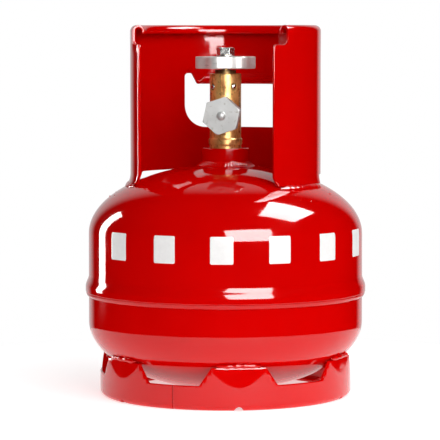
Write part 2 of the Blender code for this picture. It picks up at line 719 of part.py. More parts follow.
def make_valve_body():
    edge = 0.6 * MM
    outside = [(0, BODY_TOP), (BODY_RADIUS - edge, BODY_TOP), (BODY_RADIUS, BODY_TOP - edge),
               (BODY_RADIUS, RING_TOP + 1 * MM), (BODY_RING_RADIUS, RING_TOP), (BODY_RING_RADIUS, RING_FOOT),
               (SHANK_RADIUS, RING_FOOT - edge), (shank_radius(BOSS_TOP), BOSS_TOP),
               (shank_radius(SHANK_END), SHANK_END), (0, SHANK_END)]
    body = turned("valve_body", outside, BRASS, VALVE_STEPS, parent=VALVE)
    thread_edge = 1 * MM
    stub = [(0, OUTLET_FACE), (OUTLET_THREAD_RADIUS - thread_edge, OUTLET_FACE),
            (OUTLET_THREAD_RADIUS, OUTLET_FACE - thread_edge), (OUTLET_THREAD_RADIUS, OUTLET_SHOULDER_END),
            (OUTLET_SHOULDER_RADIUS, OUTLET_SHOULDER_END), (OUTLET_SHOULDER_RADIUS, 0), (0, 0)]
    shape_with(body, turned("outlet_stub", stub, None, VALVE_STEPS, parent=OUTLET), "UNION")
    spare = 1 * MM
    inside = [(0, BODY_TOP + spare), (BONNET_BORE, BODY_TOP + spare), (BONNET_BORE, CHAMBER_ROOF),
              (CHAMBER_RADIUS, CHAMBER_ROOF), (CHAMBER_RADIUS, CHAMBER_FLOOR),
              (INLET_RADIUS + SEAT_LIP, CHAMBER_FLOOR), (INLET_RADIUS + SEAT_LIP, SEAT_Z),
              (INLET_RADIUS, SEAT_Z), (INLET_RADIUS, SHANK_END - spare), (0, SHANK_END - spare)]
    shape_with(body, turned("gas_passage", inside, None, VALVE_STEPS, parent=VALVE))
    shape_with(body, radial_pins("ball_holes", BALL_RADIUS + GAP, BONNET_BORE - 2 * MM,
                                 BODY_RADIUS + 2 * MM, BALL_Z))
    shape_with(body, round_bar("outlet_bore", OUTLET_BORE, INLET_RADIUS, OUTLET_FACE + spare, OUTLET))


def round_bar(name, radius, low, high, parent):
    """Cutter: a cylinder along its parent's Z axis."""
    points = [(0, high), (radius, high), (radius, low), (0, low)]
    return turned(name, points, None, VALVE_STEPS, parent=parent)


def make_bonnet():
    groove = BALL_CENTRE - BALL_RADIUS - GAP
    groove_half = BALL_RADIUS + GAP
    edge = 0.5 * MM
    ring_z = BODY_TOP - SPINDLE_RING_DEPTH
    ring_half = SPINDLE_RING_SECTION + GAP
    ring_outer = SPINDLE_BORE + 2 * SPINDLE_RING_SECTION + 0.5 * GAP
    points = [(SPINDLE_BORE, BONNET_TOP), (BONNET_HUB - edge, BONNET_TOP), (BONNET_HUB, BONNET_TOP - edge),
              (BONNET_HUB, BODY_TOP - edge), (BONNET_RADIUS, BODY_TOP - edge),
              (BONNET_RADIUS, BALL_Z + groove_half), (groove, BALL_Z + groove_half),
              (groove, BALL_Z - groove_half), (BONNET_RADIUS, BALL_Z - groove_half),
              (BONNET_RADIUS, BONNET_FOOT), (FLANGE_RADIUS + GAP, BONNET_FOOT),
              (FLANGE_RADIUS + GAP, WELL_ROOF), (SPINDLE_BORE, WELL_ROOF), (SPINDLE_BORE, ring_z - ring_half),
              (ring_outer, ring_z - ring_half), (ring_outer, ring_z + ring_half),
              (SPINDLE_BORE, ring_z + ring_half)]
    turned("bonnet", points, DARK_BRASS, VALVE_STEPS, closed=True, parent=VALVE)
    centre = SPINDLE_BORE + SPINDLE_RING_SECTION
    section = [(centre + SPINDLE_RING_SECTION * math.sin(a), ring_z + SPINDLE_RING_SECTION * math.cos(a))
               for a in (math.pi / 3 * side for side in range(6))]
    turned("spindle_o_ring", section, RUBBER, SMALL_STEPS, closed=True, parent=VALVE)
    thrust = [(SPINDLE_BORE, WELL_ROOF - GAP), (FLANGE_RADIUS, WELL_ROOF - GAP),
              (FLANGE_RADIUS, FLANGE_HIGH + GAP), (SPINDLE_BORE, FLANGE_HIGH + GAP)]
    turned("thrust_washer", thrust, NYLON, SMALL_STEPS, closed=True, parent=VALVE)


def make_lock_balls():
    bm = bmesh.new()
    bmesh.ops.create_uvsphere(bm, u_segments=PIN_STEPS, v_segments=BALL_RINGS, radius=BALL_RADIUS)
    mesh = mesh_from(bm, "lock_ball")
    mesh.shade_smooth()
    mesh.materials.append(STEEL)
    for index in range(BALLS):
        ball = bpy.data.objects.new(f"lock_ball_{index + 1}", mesh)
        PARTS.objects.link(ball)
        ball.parent = VALVE
        ball.location = around(ball_azimuth(index), BALL_CENTRE, BALL_Z)


def make_spindle():
    edge = 0.6 * MM
    blade_end = FLANGE_LOW - BLADE_LENGTH
    points = [(0, SPINDLE_TOP), (SPINDLE_RADIUS - edge, SPINDLE_TOP), (SPINDLE_RADIUS, SPINDLE_TOP - edge),
              (SPINDLE_RADIUS, FLANGE_HIGH), (FLANGE_RADIUS, FLANGE_HIGH), (FLANGE_RADIUS, FLANGE_LOW),
              (SPINDLE_RADIUS, FLANGE_LOW), (SPINDLE_RADIUS, blade_end), (0, blade_end)]
    spindle = turned("spindle", points, BRASS, SMALL_STEPS, parent=VALVE)
    reach = 2 * SPINDLE_RADIUS
    flat = SQUARE_SIDE / 2
    low = WHEEL_LOW - GAP
    high = WHEEL_HIGH
    shape_with(spindle, block("square_sides", (flat, -reach, low), (reach, reach, high), True, VALVE))
    shape_with(spindle, block("square_ends", (-reach, flat, low), (reach, reach, high), True, VALVE))
    blade = BLADE_THICKNESS / 2
    shape_with(spindle, block("blade_sides", (-reach, blade, blade_end - reach),
                              (reach, reach, FLANGE_LOW - GAP), True, VALVE))


def make_plug():
    disc_low = SEAT_Z + GAP
    disc_high = disc_low + SEAT_DISC_THICKNESS
    recess_roof = disc_high + GAP
    skirt = recess_roof - SEAT_DISC_HELD
    plug_top = BONNET_FOOT - PLUG_LIFT - 2 * GAP
    thread_low = plug_top - PLUG_THREAD_LENGTH
    thread = CHAMBER_RADIUS - GAP
    points = [(0, plug_top), (thread, plug_top), (thread, thread_low), (PLUG_STEM_RADIUS, thread_low),
              (PLUG_STEM_RADIUS, skirt), (SEAT_DISC_RADIUS + GAP, skirt),
              (SEAT_DISC_RADIUS + GAP, recess_roof), (0, recess_roof)]
    plug = turned("valve_plug", points, BRASS, SMALL_STEPS, parent=VALVE)
    blade_end = FLANGE_LOW - BLADE_LENGTH
    slot = BLADE_THICKNESS / 2 + GAP
    reach = 2 * thread
    floor = blade_end - PLUG_LIFT - 2 * GAP
    top = plug_top + reach
    shape_with(plug, block("plug_slot", (-reach, -slot, floor), (reach, slot, top), parent=VALVE))
    disc = [(0, disc_high), (SEAT_DISC_RADIUS, disc_high), (SEAT_DISC_RADIUS, disc_low), (0, disc_low)]
    turned("seat_disc", disc, NYLON, SMALL_STEPS, parent=VALVE)


def chamfered_hex(name, across_flats, low, high, face_radius, chamfers, corner_angle, material, parent):
    """Hexagonal prism along Z with 30 degree turned chamfers on the faces named in chamfers."""
    corner = across_flats / math.sqrt(3)
    bm = bmesh.new()
    place = Matrix.Translation((0, 0, (low + high) / 2)) @ Matrix.Rotation(corner_angle - math.pi / 2, 4, "Z")
    bmesh.ops.create_cone(bm, cap_ends=True, segments=6, radius1=corner, radius2=corner,
                          depth=high - low, matrix=place)
    mesh = mesh_from(bm, name)
    hexagon = add(name, mesh, material, parent)
    outer = corner + 1 * MM
    drop = (outer - face_radius) * math.tan(math.radians(30))
    spare = 1 * MM
    top = [(0, high), (face_radius, high), (outer, high - drop)] if "top" in chamfers else \
        [(0, high + spare), (outer, high + spare)]
    bottom = [(outer, low + drop), (face_radius, low), (0, low)] if "bottom" in chamfers else \
        [(outer, low - spare), (0, low - spare)]
    barrel = turned(f"{name}_barrel", top + bottom, None, VALVE_STEPS, parent=parent)
    shape_with(hexagon, barrel, "INTERSECT")
    return hexagon


def make_handwheel():
    points = 8 * WHEEL_LOBES
    middle = WHEEL_RADIUS - WHEEL_SCALLOP / 2
    outline = []
    for step in range(points):
        angle = 2 * math.pi * step / points
        radius = middle + WHEEL_SCALLOP / 2 * math.cos(WHEEL_LOBES * angle)
        turn = angle + WHEEL_LOBE_ANGLE
        outline.append((radius * math.cos(turn), radius * math.sin(turn)))
    bm = plate("handwheel", [outline], WHEEL_HEIGHT)
    rim = [edge for edge in bm.edges
           if len(edge.link_faces) == 2 and edge.calc_face_angle() > math.radians(60)]
    bmesh.ops.bevel(bm, geom=rim, offset=WHEEL_EDGE, segments=1, affect="EDGES")
    mesh = mesh_from(bm, "handwheel")
    smooth(mesh)
    wheel = add("handwheel", mesh, CAST_ALUMINIUM, VALVE)
    wheel.location = (0, 0, (WHEEL_LOW + WHEEL_HIGH) / 2)
    well_top = WHEEL_LOW + WHEEL_WELL_DEPTH
    well = [(WHEEL_HUB, well_top), (WHEEL_WELL - 1 * MM, well_top), (WHEEL_WELL, WHEEL_LOW - 1 * MM),
            (WHEEL_HUB, WHEEL_LOW - 1 * MM)]
    shape_with(wheel, turned("wheel_well", well, None, VALVE_STEPS, closed=True, parent=VALVE))
    dish_low = WHEEL_HIGH - WHEEL_DISH_DEPTH
    dish = [(WHEEL_HUB, WHEEL_HIGH + 1 * MM), (WHEEL_WELL + 1 * MM, WHEEL_HIGH + 1 * MM),
            (WHEEL_WELL - 1 * MM, dish_low), (WHEEL_HUB, dish_low)]
    shape_with(wheel, turned("wheel_dish", dish, None, VALVE_STEPS, closed=True, parent=VALVE))
    hole = SQUARE_SIDE / 2 + GAP
    shape_with(wheel, block("wheel_square", (-hole, -hole, WHEEL_LOW - 1 * MM),
                            (hole, hole, WHEEL_HIGH + 1 * MM), parent=VALVE))


def make_wheel_fixing():
    washer = [(SPINDLE_BORE, WASHER_LOW + WASHER_THICKNESS), (WASHER_RADIUS, WASHER_LOW + WASHER_THICKNESS),
              (WASHER_RADIUS, WASHER_LOW), (SPINDLE_BORE, WASHER_LOW)]
    turned("wheel_washer", washer, STEEL, SMALL_STEPS, closed=True, parent=VALVE)
    nut_top = NUT_LOW + NUT_HEIGHT
    nut = chamfered_hex("wheel_nut", NUT_ACROSS_FLATS, NUT_LOW, nut_top, NUT_FACE_RADIUS, ("top",),
                        0, STEEL, VALVE)
    shape_with(nut, round_bar("nut_bore", SPINDLE_BORE, NUT_LOW - 1 * MM, nut_top + 1 * MM, VALVE))


def make_outlet_cap():
    gasket_low = OUTLET_FACE + GAP
    gasket_high = gasket_low + GASKET_THICKNESS
    gasket_outer = OUTLET_THREAD_RADIUS - 0.5 * MM
    gasket = [(GASKET_HOLE, gasket_high), (gasket_outer, gasket_high), (gasket_outer, gasket_low),
              (GASKET_HOLE, gasket_low)]
    turned("cap_gasket", gasket, RUBBER, SMALL_STEPS, closed=True, parent=OUTLET)
    bore_end = gasket_high + GAP
    face = bore_end + CAP_END_WALL
    rear = face - CAP_LENGTH
    cap = chamfered_hex("outlet_cap", CAP_ACROSS_FLATS, rear, face, CAP_FACE_RADIUS, ("top", "bottom"),
                        CAP_CORNER_ANGLE, PLATED_CAP, OUTLET)
    dome = [(NUB_RADIUS * math.sin(a), face + NUB_RISE * math.cos(a))
            for a in (math.pi / 2 * step / 4 for step in range(5))]
    nub = turned("cap_nub", dome + [(NUB_RADIUS, face - 1 * MM), (0, face - 1 * MM)], None, SMALL_STEPS,
                 parent=OUTLET)
    shape_with(cap, nub, "UNION")
    shape_with(cap, round_bar("cap_bore", OUTLET_THREAD_RADIUS + GAP, rear - 1 * MM, bore_end, OUTLET))


make_upper_shell()
make_lower_shell()
make_girth_weld()
make_neck()
make_collar()
make_collar_welds()
make_foot_ring()
make_foot_welds()
make_valve_body()
make_bonnet()
make_lock_balls()
make_spindle()
make_plug()
make_handwheel()
make_wheel_fixing()
make_outlet_cap()
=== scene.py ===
"""Looks of the propane cylinder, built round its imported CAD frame. Metres, +Z up.

Azimuths are counted from -Y towards +X. The collar opens towards -Y. The frame gives the outer
sizes. The other main sizes are the ones that its parts were modelled with.
"""
import json
import math
import random

import bmesh
import bpy
from mathutils import Matrix, Vector, noise


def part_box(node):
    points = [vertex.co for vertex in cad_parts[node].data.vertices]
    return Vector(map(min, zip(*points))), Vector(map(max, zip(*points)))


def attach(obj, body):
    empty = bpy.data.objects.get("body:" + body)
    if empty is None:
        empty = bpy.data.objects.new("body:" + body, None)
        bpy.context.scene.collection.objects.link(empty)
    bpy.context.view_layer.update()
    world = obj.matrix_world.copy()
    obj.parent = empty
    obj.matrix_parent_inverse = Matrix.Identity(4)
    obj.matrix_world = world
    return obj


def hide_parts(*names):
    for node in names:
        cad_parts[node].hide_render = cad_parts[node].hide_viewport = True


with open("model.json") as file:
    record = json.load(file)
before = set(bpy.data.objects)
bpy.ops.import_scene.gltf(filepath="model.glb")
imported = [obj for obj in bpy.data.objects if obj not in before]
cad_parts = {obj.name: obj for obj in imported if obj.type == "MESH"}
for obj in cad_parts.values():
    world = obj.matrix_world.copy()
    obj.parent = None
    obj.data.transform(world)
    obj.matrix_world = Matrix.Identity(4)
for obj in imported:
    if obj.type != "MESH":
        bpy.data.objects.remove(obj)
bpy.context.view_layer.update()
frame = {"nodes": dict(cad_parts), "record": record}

MM = 0.001
GAP = 0.3 * MM
NODES = frame["nodes"]


def low(node):
    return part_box(node)[0]


def high(node):
    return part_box(node)[1]


# Tank, from the frame
TANK_RADIUS = high("lower_shell").x
TANK_WALL = 2.3 * MM
FLOOR_CLEARANCE = low("lower_shell").z
SEAM_Z = low("upper_shell").z
BELL_RADIUS = high("upper_shell").x
BELL_LAP = 5.5 * MM
BELL_BLEND = 6.5 * MM
HEAD_HEIGHT = 55.5 * MM
SHELL_STRAIGHT = 71 * MM
LOWER_HEAD_Z = FLOOR_CLEARANCE + HEAD_HEIGHT
UPPER_HEAD_Z = LOWER_HEAD_Z + SHELL_STRAIGHT
CROWN_Z = UPPER_HEAD_Z + HEAD_HEIGHT

# Boss and collar
BOSS_TOP = high("neck_boss").z
BOSS_RADIUS = high("neck_boss").x
BOSS_HOLE = 15.3 * MM
BOSS_DEPTH = 8 * MM         # boss below the crown
COLLAR_TOP = high("collar").z
COLLAR_RADIUS = 77 * MM
COLLAR_WALL = 2.5 * MM
MOUTH_HALF_ANGLE = math.radians(47)
RIM_BEND = 5 * MM
RIM_LEG = 2 * MM
NOTCH_ANGLE = math.radians(10)
NOTCH_DEPTH = 15.5 * MM
COLLAR_DRAIN = 8 * MM
FOOT_BEND = 20 * MM
FOOT_FLARE = math.radians(25)
FOOT_SPANS = ((math.radians(50), math.radians(94)), (math.radians(135), math.radians(160)))
WINDOW_HALF_ANGLE = math.radians(44.5)
WINDOW_LOW = CROWN_Z + 27.5 * MM
WINDOW_TOP = WINDOW_LOW + 36 * MM
WINDOW_CORNER = 19 * MM
HEM_BEND = 3 * MM
HEM_LEG = 3 * MM
RELIEF_WIDTH = 6.5 * MM
RELIEF_RISE = 9 * MM

# Foot ring
FOOT_RADIUS = TANK_RADIUS - 9 * MM
FOOT_WALL = 2.5 * MM
FOOT_WINDOWS = 6
FOOT_WINDOW_AZIMUTH = math.radians(-6.5)
FOOT_WINDOW_SILL = 19.4 * MM
FOOT_WINDOW_BASE = 43 * MM
FOOT_WINDOW_FLARE = 0.68
FLANGE_BEND = 4.5 * MM
FLANGE_LEG = 6 * MM
DRAIN_WIDTH = 7 * MM
DRAIN_TOP = 3.4 * MM
SEAM_GAP = 0.5 * MM
CREASE_HEIGHT = 15.6 * MM
CREASE_LEAN = 1.1 * MM
LAND_TOP = high("foot_ring").z

# Valve
OUTLET_AZIMUTH = math.radians(12.5)
BODY_RADIUS = 12.7 * MM
BODY_TOP = high("valve_body").z
RING_RADIUS = 13.6 * MM
RING_FOOT = BOSS_TOP + 3 * MM
RING_TOP = RING_FOOT + 4 * MM
OUTLET_Z = BOSS_TOP + 27 * MM
THREAD_RADIUS = 10.9 * MM
THREAD_PITCH = 1.814 * MM
SHOULDER_RADIUS = 12.2 * MM
SHOULDER_END = 21 * MM
OUTLET_FACE = 34 * MM
OUTLET_BORE = 4 * MM
BALLS = 4
BALL_RADIUS = 2.5 * MM
BALL_Z = BODY_TOP - 10.5 * MM
BALL_CENTRE = BODY_RADIUS + 0.6 * MM - BALL_RADIUS
BALL_FROM_OUTLET = math.radians(-7)
BONNET_TOP = high("bonnet").z
BONNET_BORE = BODY_RADIUS - 2.7 * MM
SPINDLE_RADIUS = 4 * MM
WHEEL_LOW = low("handwheel").z
WHEEL_HIGH = high("handwheel").z
WHEEL_RADIUS = 24.5 * MM
WHEEL_LOBES = 6
WHEEL_SCALLOP = 3.4 * MM
WHEEL_LOBE_ANGLE = math.radians(13)
NUT_LOW = low("wheel_nut").z
NUT_HIGH = high("wheel_nut").z
CAP_FACE = 40 * MM
CAP_LENGTH = 16.5 * MM
CAP_ACROSS_FLATS = 27 * MM
CAP_CORNER_ANGLE = math.radians(18)

TANK_STEPS = 240
VALVE_STEPS = 96
SMALL_STEPS = 48
BEAD_SIDES = 14
ROLL_STEP = math.radians(2)
EDGE = 0.45 * MM            # break on sheared sheet edges
SMOOTH_ANGLE = math.radians(34)
RIM_ANGLE = math.radians(60)    # sharper edges are the rim of a blank
MERGE = 0.01 * MM
FINE_MERGE = 0.001 * MM
THROUGH = 1 * MM            # how far a cutter stands past what it cuts
TO_VALVE = Matrix.Rotation(OUTLET_AZIMUTH, 4, "Z")
TO_OUTLET = TO_VALVE @ Matrix.Translation((0, 0, OUTLET_Z)) @ Matrix.Rotation(math.pi / 2, 4, "X")


def dome_height(radius):
    return HEAD_HEIGHT * math.sqrt(max(0, 1 - (radius / TANK_RADIUS) ** 2))


def top_dome(radius):
    return UPPER_HEAD_Z + dome_height(radius)


def around(azimuth, radius, height):
    return Vector((radius * math.sin(azimuth), -radius * math.cos(azimuth), height))


# Mesh tools

def link(thing):
    bpy.context.scene.collection.objects.link(thing)


def mesh_from(name, bm, place=None):
    """Turns an editable mesh into a plain one, which may be moved into place."""
    mesh = bpy.data.meshes.new(name)
    bm.to_mesh(mesh)
    bm.free()
    if place:
        mesh.transform(place)
    return mesh


def evaluated_mesh(thing):
    return bpy.data.meshes.new_from_object(thing.evaluated_get(bpy.context.evaluated_depsgraph_get()))


def flatten_shading(thing):
    """Lets the large faces decide the normals they share, so that they shade flat."""
    weighted = thing.modifiers.new("weighted", "WEIGHTED_NORMAL")
    weighted.keep_sharp = True
    weighted.weight = 100
    mesh = evaluated_mesh(thing)
    thing.modifiers.clear()
    thing.data = mesh


def piece(name, bm, body, material, node=None, place=None, flat_faces=False):
    """Turns an editable mesh into a piece that rides on a body and may stand for a CAD node."""
    mesh = mesh_from(name, bm, place)
    mesh.shade_smooth()
    mesh.set_sharp_from_angle(angle=SMOOTH_ANGLE)
    mesh.materials.append(MATERIALS[material])
    thing = bpy.data.objects.new(name, mesh)
    link(thing)
    if flat_faces:
        flatten_shading(thing)
    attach(thing, body)
    if node:
        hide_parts(node)


def arc(start, end, steps):
    return [start + (end - start) * step / steps for step in range(steps + 1)]


def circle(sides):
    return [math.tau * step / sides for step in range(sides)]


def rounded(corners, arc_step=math.radians(9)):
    """Outline through (x, y, radius) corners, each with its round."""
    outline = []
    for index, (x, y, radius) in enumerate(corners):
        corner = Vector((x, y))
        if radius == 0:
            outline.append(corner)
            continue
        before = Vector(corners[index - 1][:2]) - corner
        after = Vector(corners[(index + 1) % len(corners)][:2]) - corner
        before.normalize()
        after.normalize()
        half = before.angle(after) / 2
        middle = corner + (before + after).normalized() * radius / math.sin(half)
        start = corner + before * radius / math.tan(half) - middle
        turn = start.angle_signed(corner + after * radius / math.tan(half) - middle)
        pieces = max(2, math.ceil(abs(turn) / arc_step))
        for step in range(pieces + 1):
            outline.append(middle + Matrix.Rotation(-turn * step / pieces, 2) @ start)
    return outline


def join_rings(bm, here, there):
    """Faces between two closed rings of as many points."""
    for index in range(len(here)):
        after = (index + 1) % len(here)
        bm.faces.new((here[index], here[after], there[after], there[index]))


def revolve(profile, steps, shape=None):
    """Solid turned about Z from a closed (radius, height) profile that runs down its outer side.

    shape(azimuth, radius, height) may give each point a new radius and height.
    """
    bm = bmesh.new()
    rings = []
    for step in range(steps):
        azimuth = math.tau * step / steps
        points = [shape(azimuth, *point) for point in profile] if shape else profile
        rings.append([bm.verts.new(around(azimuth, *point)) for point in points])
    for step in range(steps):
        join_rings(bm, rings[step], rings[(step + 1) % steps])
    bmesh.ops.remove_doubles(bm, verts=bm.verts, dist=FINE_MERGE)
    bmesh.ops.recalc_face_normals(bm, faces=bm.faces)
    return bm


# Sheet metal: a flat blank with coordinates u along it and v up it, bent and then rolled

def rim_edges(bm):
    return [edge for edge in bm.edges if len(edge.link_faces) == 2 and edge.calc_face_angle() > RIM_ANGLE]


def plate(outlines, thickness, edge):
    """Flat sheet filled between outlines, with its sheared edges broken."""
    curve = bpy.data.curves.new("blank", "CURVE")
    curve.dimensions = "2D"
    curve.fill_mode = "BOTH"
    curve.extrude = thickness / 2
    for outline in outlines:
        spline = curve.splines.new("POLY")
        spline.points.add(len(outline) - 1)
        for point, (u, v) in zip(spline.points, outline):
            point.co = (u, v, 0, 1)
        spline.use_cyclic_u = True
    flat = bpy.data.objects.new("blank", curve)
    link(flat)
    mesh = evaluated_mesh(flat)
    bpy.data.objects.remove(flat)
    bm = bmesh.new()
    bm.from_mesh(mesh)
    bmesh.ops.remove_doubles(bm, verts=bm.verts, dist=MERGE)
    straight = math.radians(0.3)
    bmesh.ops.dissolve_limit(bm, angle_limit=straight, verts=bm.verts, edges=bm.edges)
    bmesh.ops.recalc_face_normals(bm, faces=bm.faces)
    rim = [side for side in rim_edges(bm) if abs(side.verts[0].co.z - side.verts[1].co.z) < MERGE]
    if edge:
        bmesh.ops.bevel(bm, geom=rim, offset=edge, segments=2, profile=0.5, affect="EDGES")
    return bm


def score(bm, axis, places, reach=math.inf):
    """Cuts the sheet along lines so that it can bend there, within a reach of its middle."""
    normal = Vector((0, 0, 0))
    normal[axis] = 1
    for place in places:
        faces = [face for face in bm.faces if abs(face.calc_center_median().x) < reach]
        edges = {edge for face in faces for edge in face.edges}
        verts = {vert for face in faces for vert in face.verts}
        bmesh.ops.bisect_plane(bm, geom=[*verts, *edges, *faces], dist=2 * MERGE,
                               plane_co=normal * place, plane_no=normal)


def folded(edge, length, radius, turn, rise, side):
    """Point and outward normal at a length past a fold line.

    rise is 1 above the line and -1 below it, and side is 1 outwards and -1 inwards.
    """
    angle = min(length / radius, turn)
    rest = length - angle * radius
    across = radius * (1 - math.cos(angle)) + rest * math.sin(angle)
    along = radius * math.sin(angle) + rest * math.cos(angle)
    point = Vector((edge[0] + side * across, edge[1] + rise * along))
    return point, Vector((math.cos(angle), -side * rise * math.sin(angle)))


def roll(bm, section, azimuth):
    """Rolls the scored blank: section(u, v) gives the sheet's middle and its normal."""
    wide = [face for face in bm.faces if len(face.verts) > 4]
    bmesh.ops.triangulate(bm, faces=wide)
    for vert in bm.verts:
        u, v, depth = vert.co
        point, normal = section(u, v)
        vert.co = around(azimuth(u), *(point + normal * depth))


def mirrored(corners):
    """Adds the other half of an outline of (u, v, radius) corners that is symmetric about u=0."""
    return corners + [(-u, v, radius) for u, v, radius in reversed(corners)]


# Materials

def principled(name, colour, roughness, metallic=0.0, **sockets):
    """Principled material. sockets sets others by name, with _ for a space."""
    material = bpy.data.materials.new(name)
    material.use_nodes = True
    shader = material.node_tree.nodes["Principled BSDF"]
    shader.inputs["Base Color"].default_value = (*colour, 1)
    shader.inputs["Roughness"].default_value = roughness
    shader.inputs["Metallic"].default_value = metallic
    for socket, value in sockets.items():
        shader.inputs[socket.replace("_", " ")].default_value = value
    return material


def texture(material, scale, stretch=(1, 1, 1), detail=3, distortion=0.0):
    """Noise over the object's own coordinates, with so many features in a metre."""
    tree = material.node_tree
    place = tree.nodes.new("ShaderNodeTexCoord")
    mapping = tree.nodes.new("ShaderNodeMapping")
    mapping.inputs["Scale"].default_value = stretch
    tree.links.new(place.outputs["Object"], mapping.inputs["Vector"])
    pattern = tree.nodes.new("ShaderNodeTexNoise")
    pattern.inputs["Scale"].default_value = scale
    pattern.inputs["Detail"].default_value = detail
    pattern.inputs["Distortion"].default_value = distortion
    tree.links.new(mapping.outputs["Vector"], pattern.inputs["Vector"])
    return pattern.outputs["Fac"]


def ramp(material, value, start, end, first, last):
    """Maps start..end of a value to first..last."""
    node = material.node_tree.nodes.new("ShaderNodeMapRange")
    for socket, number in zip(("From Min", "From Max", "To Min", "To Max"), (start, end, first, last)):
        node.inputs[socket].default_value = number
    material.node_tree.links.new(value, node.inputs["Value"])
    return node.outputs["Result"]


def vary_colour(material, value, start, end, first, last):
    """Base colour from first to last as the value goes from start to end.

    first is a colour, or what an earlier call gave.
    """
    tree = material.node_tree
    node = tree.nodes.new("ShaderNodeMix")
    node.data_type = "RGBA"
    if isinstance(first, tuple):
        node.inputs["A"].default_value = (*first, 1)
    else:
        tree.links.new(first, node.inputs["A"])
    node.inputs["B"].default_value = (*last, 1)
    result = node.outputs["Result"]
    tree.links.new(ramp(material, value, start, end, 0, 1), node.inputs["Factor"])
    tree.links.new(result, tree.nodes["Principled BSDF"].inputs["Base Color"])
    return result


def vary_roughness(material, value, start, end, first, last):
    shader = material.node_tree.nodes["Principled BSDF"]
    result = ramp(material, value, start, end, first, last)
    material.node_tree.links.new(result, shader.inputs["Roughness"])


def relief(material, *layers):
    """Adds bumps. Each layer is a value and its height in metres."""
    tree = material.node_tree
    shader = tree.nodes["Principled BSDF"]
    previous = None
    for value, height in layers:
        bump = tree.nodes.new("ShaderNodeBump")
        bump.inputs["Distance"].default_value = height
        tree.links.new(value, bump.inputs["Height"])
        if previous:
            tree.links.new(previous.outputs["Normal"], bump.inputs["Normal"])
        previous = bump
    tree.links.new(previous.outputs["Normal"], shader.inputs["Normal"])


def enamel(name, peel):
    """Baked red enamel: two close reds, orange peel and a slight wave of the sheet below."""
    material = principled(name, (0.62, 0.0, 0.0), 0.06, IOR=1.45)
    vary_colour(material, texture(material, 14), 0.35, 0.65,
                (0.60, 0.0001, 0.0), (0.65, 0.0002, 0.0001))
    vary_roughness(material, texture(material, 60), 0.3, 0.7, 0.04, 0.08)
    relief(material, (texture(material, 22, detail=1), 0.12 * MM),
           (texture(material, 650, detail=1), peel))
    return material


def brass():
    material = principled("brass", (0.72, 0.42, 0.12), 0.3, 0.4)
    base = vary_colour(material, texture(material, 120), 0.35, 0.65,
                       (0.84, 0.52, 0.18), (0.68, 0.38, 0.11))
    tarnish = texture(material, 160, (1, 1, 0.5), 4, 0.6)
    base = vary_colour(material, tarnish, 0.50, 0.70, base, (0.34, 0.10, 0.02))
    spots = texture(material, 330, (1, 1, 0.4), 3, 1.0)
    vary_colour(material, spots, 0.60, 0.74, base, (0.14, 0.05, 0.012))
    vary_roughness(material, texture(material, 240), 0.3, 0.7, 0.22, 0.42)
    relief(material, (texture(material, 420), 0.05 * MM), (texture(material, 1500), 0.015 * MM))
    return material


def dark_brass():
    # Brass darkened all over to paint the shade that the handwheel casts on the bonnet. The noise in it is
    # random tone.
    material = principled("dark_brass", (0.22, 0.13, 0.05), 0.45, 0.85)
    vary_colour(material, texture(material, 260), 0.35, 0.7, (0.26, 0.16, 0.06), (0.08, 0.045, 0.02))
    vary_roughness(material, texture(material, 300), 0.3, 0.7, 0.35, 0.6)
    relief(material, (texture(material, 1200), 0.02 * MM))
    return material


def plain_metal(name, first, last, smooth_end, rough_end, stretch, bump, metallic):
    """Metal with fine marks. stretch draws them out along an axis."""
    material = principled(name, first, smooth_end, metallic)
    vary_colour(material, texture(material, 90), 0.3, 0.7, first, last)
    vary_roughness(material, texture(material, 500, stretch), 0.3, 0.7, smooth_end, rough_end)
    relief(material, (texture(material, 900, stretch), bump))
    return material


def plated_cap():
    material = principled("plated_cap", (0.40, 0.41, 0.40), 0.4, 0.2)
    base = vary_colour(material, texture(material, 70), 0.35, 0.65,
                       (0.50, 0.51, 0.50), (0.42, 0.43, 0.42))
    grime = texture(material, 210, detail=5, distortion=1.2)
    vary_colour(material, grime, 0.60, 0.78, base, (0.24, 0.22, 0.18))
    vary_roughness(material, texture(material, 400), 0.3, 0.7, 0.34, 0.5)
    relief(material, (texture(material, 260), 0.05 * MM), (texture(material, 1600), 0.012 * MM))
    return material


def soft_plastic(name, first, last, roughness):
    material = principled(name, first, roughness)
    vary_colour(material, texture(material, 300), 0.3, 0.7, first, last)
    relief(material, (texture(material, 1800), 0.01 * MM))
    return material


MATERIALS = {
    "red_enamel": enamel("red_enamel", 0.006 * MM),
    "weld_enamel": enamel("weld_enamel", 0.05 * MM),
    "white_paint": soft_plastic("white_paint", (0.97, 0.96, 0.95), (0.92, 0.91, 0.90), 0.3),
    "brass": brass(),
    "dark_brass": dark_brass(),
    "bright_steel": plain_metal("bright_steel", (0.62, 0.62, 0.60), (0.50, 0.50, 0.48), 0.18, 0.3,
                                (1, 1, 1), 0.002 * MM, 1.0),
    "cast_aluminium": plain_metal("cast_aluminium", (0.70, 0.69, 0.67), (0.58, 0.57, 0.55), 0.26, 0.40,
                                  (0.12, 0.12, 1), 0.03 * MM, 0.22),
    "plated_cap": plated_cap(),
    "black_rubber": soft_plastic("black_rubber", (0.02, 0.02, 0.02), (0.035, 0.035, 0.035), 0.7),
    "nylon": soft_plastic("nylon", (0.80, 0.77, 0.66), (0.74, 0.70, 0.60), 0.45),
}

for row in frame["record"]["subparts"]:
    node = NODES[row["node"]]
    node.data.materials.clear()
    node.data.materials.append(MATERIALS[row["material_slot"]])


# Tank

def shell_radius(height):
    """Outer radius of the upper shell's drawn part at a height."""
    if height < UPPER_HEAD_Z:
        return TANK_RADIUS
    return TANK_RADIUS * math.sqrt(1 - ((height - UPPER_HEAD_Z) / HEAD_HEIGHT) ** 2)


